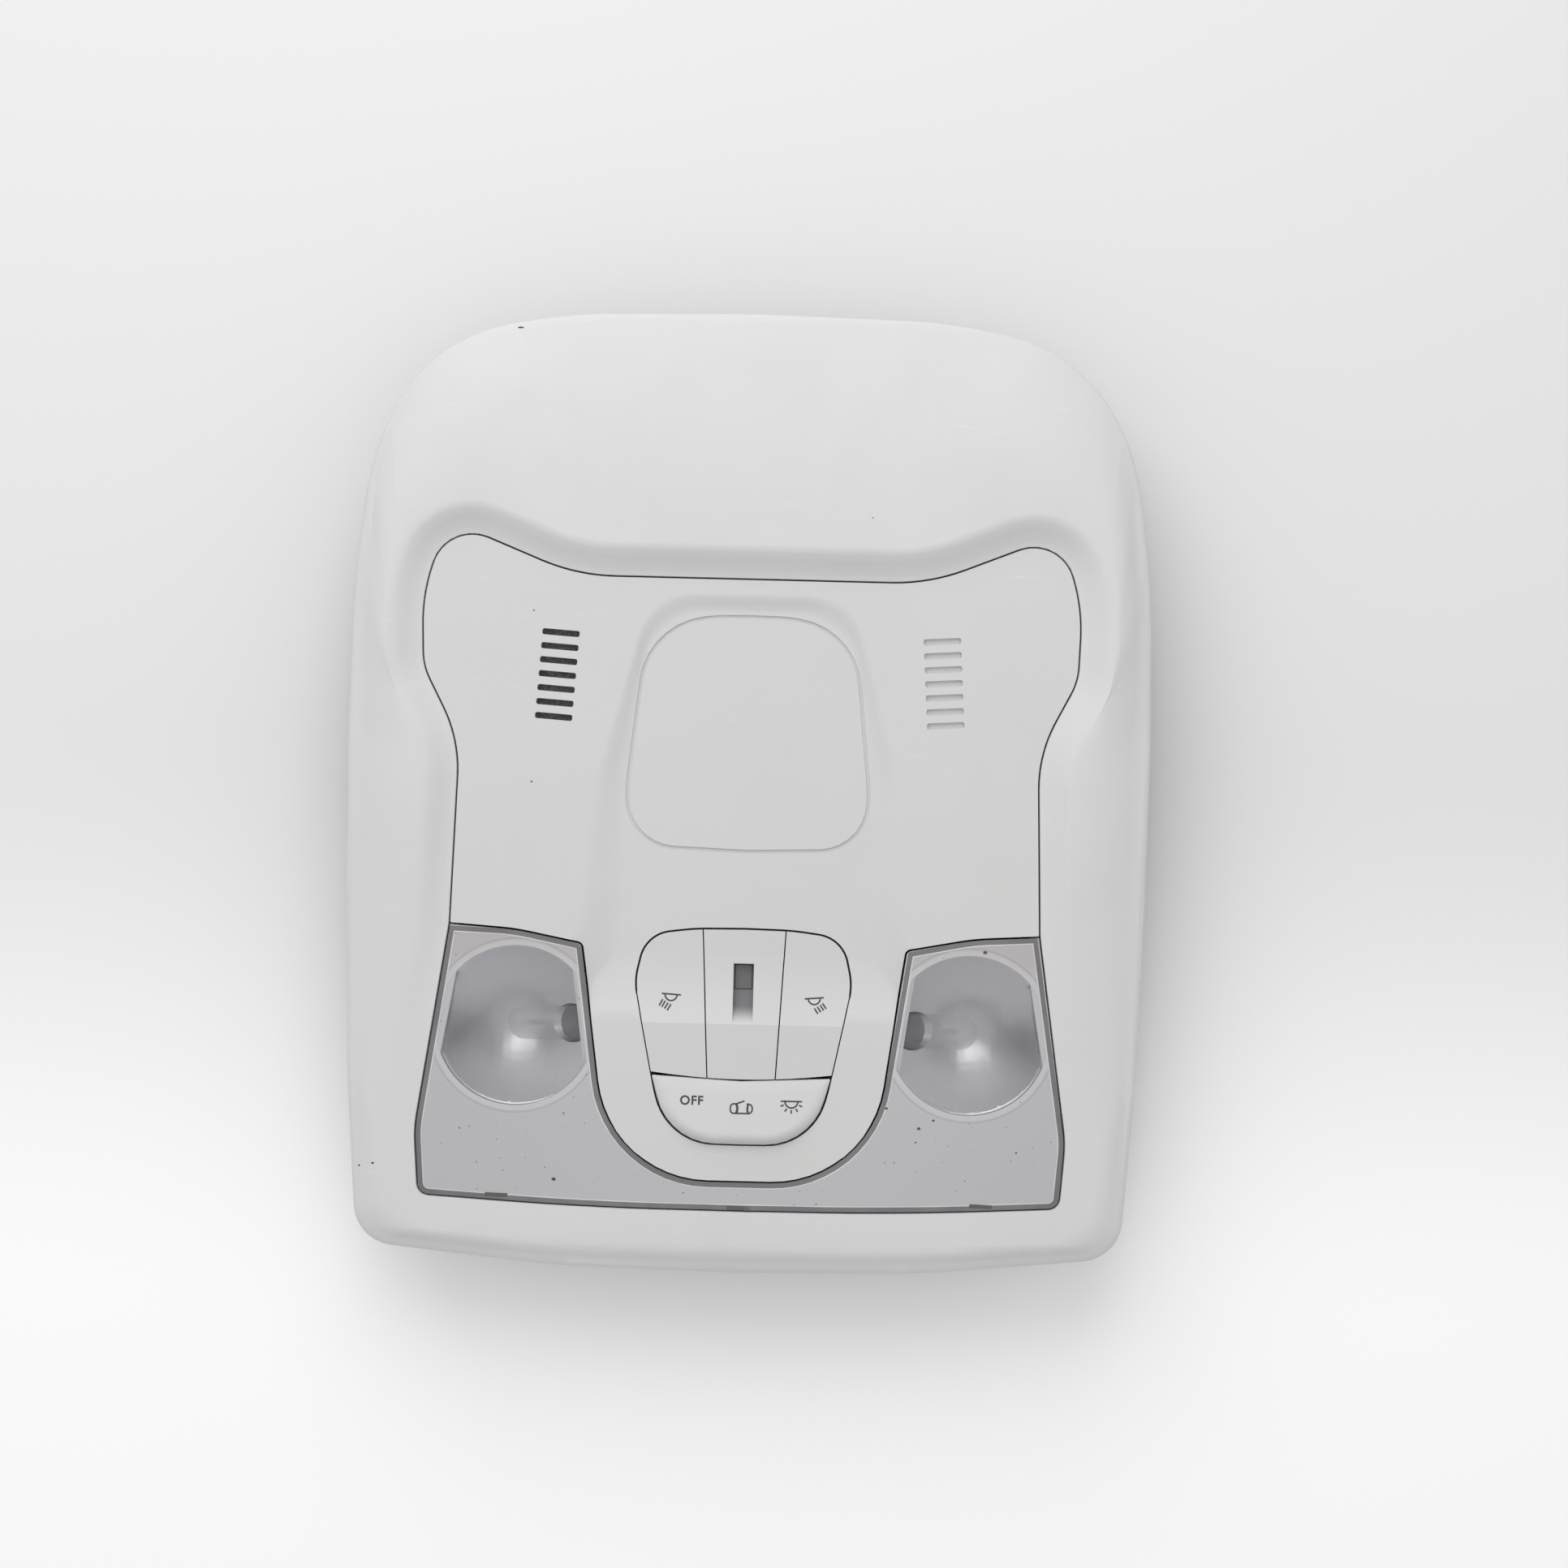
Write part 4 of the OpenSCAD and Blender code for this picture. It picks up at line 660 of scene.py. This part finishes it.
# %% [markdown]
# ## Printed signs
# The signs are pad printed: flat ink that follows the surface under it. Each stroke
# starts as a small grid or a spun edge, is cut fine enough to bend, and is then dropped
# onto the button below with a ray for each vertex. It floats 0.04 mm above the plastic,
# so that the two surfaces don't flicker through each other.

# %% Strokes, arcs and dots
INK_WIDTH = 0.00038
STROKE_STEP = 0.0004


def stroke(bm, start, end, width=INK_WIDTH):
    """A straight printed line between two points, in millimetres; its width is in metres."""
    a, b = Vector((*start, 0)) * MM, Vector((*end, 0)) * MM
    segments = max(2, int((b - a).length / STROKE_STEP))
    made = bmesh.ops.create_grid(bm, x_segments=segments, y_segments=1, size=0.5)
    turn = Matrix.Rotation(math.atan2(b.y - a.y, b.x - a.x), 4, "Z")
    size = Matrix.Diagonal(((b - a).length, width, 1, 1))
    bmesh.ops.transform(bm, verts=made["verts"], matrix=Matrix.Translation((a + b) / 2) @ turn @ size)


def arc(bm, centre, radius, start, end, width=INK_WIDTH, steps=18):
    """A printed arc, spun from a short edge; centre and radius in millimetres, angles in degrees."""
    before = set(bm.verts)
    inner = bm.verts.new((radius * MM - width / 2, 0, 0))
    outer = bm.verts.new((radius * MM + width / 2, 0, 0))
    edge = bm.edges.new((inner, outer))
    first_turn = Matrix.Rotation(math.radians(start), 3, "Z")
    bmesh.ops.rotate(bm, verts=[inner, outer], cent=(0, 0, 0), matrix=first_turn)
    bmesh.ops.spin(bm, geom=[inner, outer, edge], cent=(0, 0, 0), axis=(0, 0, 1),
                   angle=math.radians(end - start), steps=steps, use_merge=False)
    place = Matrix.Translation(Vector((*centre, 0)) * MM)
    bmesh.ops.transform(bm, verts=[v for v in bm.verts if v not in before], matrix=place)


def dot(bm, centre, radius, stretch=1.0):
    """A flat round speck, in millimetres; stretch widens it along X."""
    made = bmesh.ops.create_circle(bm, cap_ends=True, segments=12, radius=radius * MM)
    place = Matrix.Translation(Vector((*centre, 0)) * MM) @ Matrix.Diagonal((stretch, 1, 1, 1))
    bmesh.ops.transform(bm, verts=made["verts"], matrix=place)


print("ink is", round(INK_WIDTH / MM, 2), "mm wide")

# %% The drop onto a surface
INK_LIFT, MARK_LIFT, LATCH_LIFT = 0.00004, 0.00005, 0.0001
INK_MERGE = 0.000001
ABOVE_ALL = 0.1
PHOTO_SCALE = 4.965
PHOTO_CENTRE = (921.5, 978)


def lay_ink(bm, name, node, material=sign_ink, lift=INK_LIFT):
    """Drops a flat sign onto a dressed node and makes it a piece of that node's body."""
    bmesh.ops.remove_doubles(bm, verts=bm.verts, dist=INK_MERGE)
    bmesh.ops.recalc_face_normals(bm, faces=bm.faces)
    for face in bm.faces:
        if face.normal.z < 0:
            face.normal_flip()
    depsgraph = bpy.context.evaluated_depsgraph_get()
    below = BVHTree.FromObject(finished[node], depsgraph)
    for vert in bm.verts:
        hit = below.ray_cast(Vector((vert.co.x, vert.co.y, ABOVE_ALL)), Vector((0, 0, -1)))[0]
        vert.co.z = (hit.z if hit else FACE) + lift
    new_piece(name, mesh_from(bm, name, material), body_of_node[node])
    print("printed", name, "on", node)


def on_face(px, py):
    """Millimetres on the face for a place in the photograph, at the height of the panel."""
    dx, dy = px - PHOTO_CENTRE[0], py - PHOTO_CENTRE[1]
    return ((dx * math.cos(PHOTO_TURN) + dy * math.sin(PHOTO_TURN)) / PHOTO_SCALE,
            -(-dx * math.sin(PHOTO_TURN) + dy * math.cos(PHOTO_TURN)) / PHOTO_SCALE)


print("one millimetre is", PHOTO_SCALE, "points of the photograph")

# %% [markdown]
# ## The signs themselves
# A reading lamp sign is a bar, a half bowl under it and four slanting rays. The rocker
# has the word OFF, a car seen from above with one door open, and a lamp with five rays.
# Their places are read from the photograph, so the two reading signs are not quite twins.

# %% Reading lamp signs
BOWL_RADIUS = 1.5


def reading_sign(name, node, bar, bowl_centre, rays):
    """A bar, a bowl and rays at places in the photograph."""
    bm = bmesh.new()
    left, right = on_face(*bar[0]), on_face(*bar[1])
    tilt = math.degrees(math.atan2(right[1] - left[1], right[0] - left[0]))
    stroke(bm, left, right)
    arc(bm, on_face(*bowl_centre), BOWL_RADIUS, 180 + tilt, 360 + tilt)
    for start, end in rays:
        stroke(bm, on_face(*start), on_face(*end))
    lay_ink(bm, name, node)


reading_sign("left_lamp_sign", "left_reading_button", ((815.1, 1224.7), (838.8, 1226.7)), (826.6, 1226),
             [((816.4, 1231.7), (811.9, 1239.3)), ((819.5, 1233.6), (815.1, 1241.2)),
              ((823, 1236.1), (818.6, 1243.1)), ((826.6, 1237.7), (821.8, 1245.4))])
reading_sign("right_lamp_sign", "right_reading_button", ((991.5, 1231.6), (1015.2, 1230.1)), (1003.3, 1231),
             [((1003.5, 1243.1), (1007.8, 1249.7)), ((1007, 1241), (1011.4, 1247.7)),
              ((1010.6, 1239), (1014.9, 1245.6)), ((1013.4, 1236.9), (1018, 1243.6))])

# %% Lamp with five rays, on the rocker
RAY_START, RAY_END = 2.1, 2.95
bm = bmesh.new()
lamp = Vector((12.65, -76.0))
half_bar = Vector((2.65, 0))
stroke(bm, lamp - half_bar, lamp + half_bar)
arc(bm, lamp, 1.6, 180, 360)
for angle in (-155, -122.5, -90, -57.5, -25):
    ray = Vector((math.cos(math.radians(angle)), math.sin(math.radians(angle))))
    stroke(bm, lamp + ray * RAY_START, lamp + ray * RAY_END)
lay_ink(bm, "dome_lamp_sign", "dome_rocker")

# %% Car with one door open, on the rocker
bm = bmesh.new()
car = Vector((0.28, -78.05))
half_length, half_width = 2.7, 1.15
for end, corner in ((-1, 0.8), (1, 1.0)):
    middle_x, middle_y = car.x + end * (half_length - corner), half_width - corner
    arc(bm, (middle_x, car.y + middle_y), corner, 90, 90 - 90 * end, steps=8)
    arc(bm, (middle_x, car.y - middle_y), corner, 90 - 90 * end, 90 - 180 * end, steps=8)
    side_x = car.x + end * half_length
    stroke(bm, (side_x, car.y - middle_y), (side_x, car.y + middle_y))
for offset, radius, first, last, width in ((-3.3, 2.3, -28, 28, 0.00058), (4.6, 3.1, 159, 201, 0.0005)):
    arc(bm, (car.x + offset, car.y), radius, first, last, width)
for start, end in (((-1.9, -half_width), (1.7, -half_width)), ((-1.9, half_width), (-1.3, half_width)),
                   ((1.3, half_width), (1.7, half_width)), ((-1.3, half_width), (0.75, 1.9))):
    stroke(bm, car + Vector(start), car + Vector(end))
lay_ink(bm, "open_door_sign", "dome_rocker")

# %% [markdown]
# A word is quickest as a text object. Its mesh is taken before it is placed, and its
# edges are cut once, so that the letters can bend over the rocker.

# %% The word OFF, from a text turned into a mesh
OFF_PLACE = (-0.0121, -0.0764, 0)
word = bpy.data.curves.new("off_word", "FONT")
word.body = "OFF"
word.align_x, word.align_y = "CENTER", "CENTER"
word.size = 0.0031
word.space_character = 1.12
word.offset = 0.00008
word_object = new_piece("off_word", word)
bpy.context.view_layer.update()
evaluated = word_object.evaluated_get(bpy.context.evaluated_depsgraph_get())
word_mesh = bpy.data.meshes.new_from_object(evaluated)
bpy.data.objects.remove(word_object)
bm = bmesh.new()
bm.from_mesh(word_mesh)
bmesh.ops.subdivide_edges(bm, edges=bm.edges, cuts=1, use_grid_fill=True)
bmesh.ops.translate(bm, verts=bm.verts, vec=OFF_PLACE)
lay_ink(bm, "off_sign", "dome_rocker")

# %% [markdown]
# ## Marks of use on the lens and the bezel
# Three latches hold the lower edge of the lens and show through as darker patches. Dust
# specks on the lens and a few chips in the plastic are small discs, laid on the same way
# as the ink.

# %% Latch marks, dust and chips
LATCH_HALF, LATCH_WIDTH = 2.8, 0.0009
LATCH_LEFT_RISE, LATCH_RIGHT_RISE = 0.67, 0.53
SPECK_STRETCH = 1.3
latch_brown = moulded_plastic("latch_brown", (0.10, 0.09, 0.09), (0.13, 0.12, 0.115), 0.5, 4000.0, 0.2)
dust_brown = moulded_plastic("dust_brown", (0.09, 0.07, 0.06), (0.16, 0.13, 0.11), 0.8, 6000.0, 0.0)
for index, (px, py) in enumerate(((611, 1475), (909, 1492), (1208, 1490))):
    bm = bmesh.new()
    x, y = on_face(px, py)
    stroke(bm, (x - LATCH_HALF, y + LATCH_LEFT_RISE), (x + LATCH_HALF, y + LATCH_RIGHT_RISE), LATCH_WIDTH)
    lay_ink(bm, "latch_mark_%d" % index, "lamp_lens", latch_brown, LATCH_LIFT)
bm = bmesh.new()
for px, py, radius in (
        (682, 1453, 0.42), (1132, 1391, 0.34), (1150, 1381, 0.26), (1214, 1174, 0.4), (1092, 1366, 0.3),
        (1128, 1408, 0.18), (566, 1390, 0.16), (1252, 1421, 0.2), (842, 1470, 0.15)):
    dot(bm, on_face(px, py), radius, SPECK_STRETCH)
lay_ink(bm, "lens_dust", "lamp_lens", dust_brown, MARK_LIFT)
for index, (node, px, py, radius, stretch) in enumerate((
        ("outer_bezel", 641, 402, 0.22, 3.5), ("outer_bezel", 441, 1437, 0.25, 1.0),
        ("outer_bezel", 459, 1433, 0.25, 1.5), ("centre_panel", 655, 963, 0.18, 1.5),
        ("centre_panel", 658, 752, 0.2, 1.0), ("outer_bezel", 1075, 640, 0.12, 2.0))):
    bm = bmesh.new()
    dot(bm, on_face(px, py), radius, stretch)
    lay_ink(bm, "chip_%d" % index, node, dust_brown, MARK_LIFT)

# %% [markdown]
# ## Filaments
# A clear bulb shows its filament, a short tight coil along the axis of the bulb. A ring
# of six points, the section of the wire, is spun along a screw, so that the whole coil
# comes out of one operator as a tube.

# %% Coil filaments in the bulbs
WIRE_RADIUS = 0.00006
STEPS_PER_TURN = 12


def filament(name, node, start, length, turns, radius):
    """A coil of wire along X from a start point, in metres."""
    bm = bmesh.new()
    ring = bmesh.ops.create_circle(bm, cap_ends=False, segments=6, radius=WIRE_RADIUS)
    for axis in "YZ":
        bmesh.ops.rotate(bm, verts=ring["verts"], cent=(0, 0, 0),
                         matrix=Matrix.Rotation(math.radians(90), 3, axis))
    bmesh.ops.translate(bm, verts=ring["verts"], vec=(start[0], start[1], start[2] + radius))
    steps = turns * STEPS_PER_TURN
    bmesh.ops.spin(bm, geom=bm.verts[:] + bm.edges[:], cent=start, axis=(1, 0, 0),
                   dvec=(length / steps, 0, 0), angle=math.radians(360 * turns), steps=steps,
                   use_merge=False)
    bmesh.ops.recalc_face_normals(bm, faces=bm.faces)
    mesh = mesh_from(bm, name, zinc_steel)
    mesh.shade_smooth()
    new_piece(name, mesh, body_of_node[node])


READING_COIL = {"length": 0.004, "turns": 8, "radius": 0.0006}
COURTESY_COIL = {"length": 0.016, "turns": 26, "radius": 0.0005}
COURTESY_Y, COURTESY_Z = -0.090, 0.027
for side, reading_x, courtesy_x in (("left", -0.054, -0.068), ("right", 0.050, 0.052)):
    low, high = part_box(side + "_reading_bulb")
    middle = (low + high) / 2
    filament(side + "_reading_filament", side + "_reading_bulb",
             (reading_x, middle.y, middle.z), **READING_COIL)
    filament(side + "_courtesy_filament", "courtesy_bulbs",
             (courtesy_x, COURTESY_Y, COURTESY_Z), **COURTESY_COIL)
print("filaments ready")

# %% [markdown]
# ## Floor and light
# A pale floor under the part, one large soft light beyond the upper edge, a long weak
# strip overhead that gives the lamp bowls their upright glow, and an even world. The
# photograph's ground is paler below the part than above it, so the floor's colour rises
# that way, with a faint glow that only looking rays see. Those rays also see the world
# at a level just under white, so the floor runs out of sight.

# %% Floor
FLOOR_HALF = 60.0
FLOOR_GLOW = 0.11
GROUND_FAR, GROUND_NEAR = (0.81, 0.81, 0.81, 1), (0.97, 0.97, 0.97, 1)
FAR_Y, NEAR_Y = 0.02, -0.14


def looking_rays(tree):
    """1 for the rays that show a surface to the camera, directly or in metal and glass."""
    paths = add_node(tree, "ShaderNodeLightPath", "ray kind")
    seen = calc(tree, "MAXIMUM", paths.outputs["Is Camera Ray"], paths.outputs["Is Transmission Ray"])
    return calc(tree, "MAXIMUM", seen, paths.outputs["Is Glossy Ray"])


floor_white, tree, shader = start_material("floor_white", Roughness=0.7)
nearer = ramp(tree, split_place(tree)[1], FAR_Y, NEAR_Y)
ground = blend_colours(tree, nearer, GROUND_FAR, GROUND_NEAR)
tree.links.new(ground, shader.inputs["Base Color"])
glow = calc(tree, "MULTIPLY", calc(tree, "MULTIPLY", nearer, FLOOR_GLOW), looking_rays(tree))
tree.links.new(glow, shader.inputs["Emission Strength"])
bm = bmesh.new()
bmesh.ops.create_grid(bm, x_segments=1, y_segments=1, size=FLOOR_HALF)
floor = new_piece("pale_floor", mesh_from(bm, "pale_floor", floor_white))
print("floor is", 2 * FLOOR_HALF, "m wide")

# %% Lamps and world
ROOM_LEVEL, SEEN_LEVEL = (0.60, 0.60, 0.598, 1), (0.84, 0.84, 0.84, 1)


def soft_light(name, place, target, size, energy, colour=(1, 1, 1)):
    """A round area light that points at a target; size in metres, energy in watts."""
    data = bpy.data.lights.new(name, "AREA")
    data.shape = "DISK"
    data.size = size
    data.energy = energy
    data.color = colour
    light = new_piece(name, data)
    light.location = place
    aim = Vector(target) - Vector(place)
    light.rotation_euler = aim.to_track_quat("-Z", "Y").to_euler()
    return light


soft_light("upper_softbox", (-0.16, 0.66, 0.64), (0, 0.02, 0.03), 1.0, 4.5, (0.985, 0.985, 1.0))
strip = soft_light("overhead_strip", (0.0, 0.34, 1.0), (0, 0.06, 0.03), 0.2, 0.9)
strip.data.shape = "RECTANGLE"
strip.data.size_y = 1.3

world = bpy.data.worlds.new("studio")
world.use_nodes = True
bpy.context.scene.world = world
tree = world.node_tree
background = tree.nodes["Background"]
sky = blend_colours(tree, looking_rays(tree), ROOM_LEVEL, SEEN_LEVEL)
tree.links.new(sky, background.inputs["Color"])
background.inputs["Strength"].default_value = 1.0
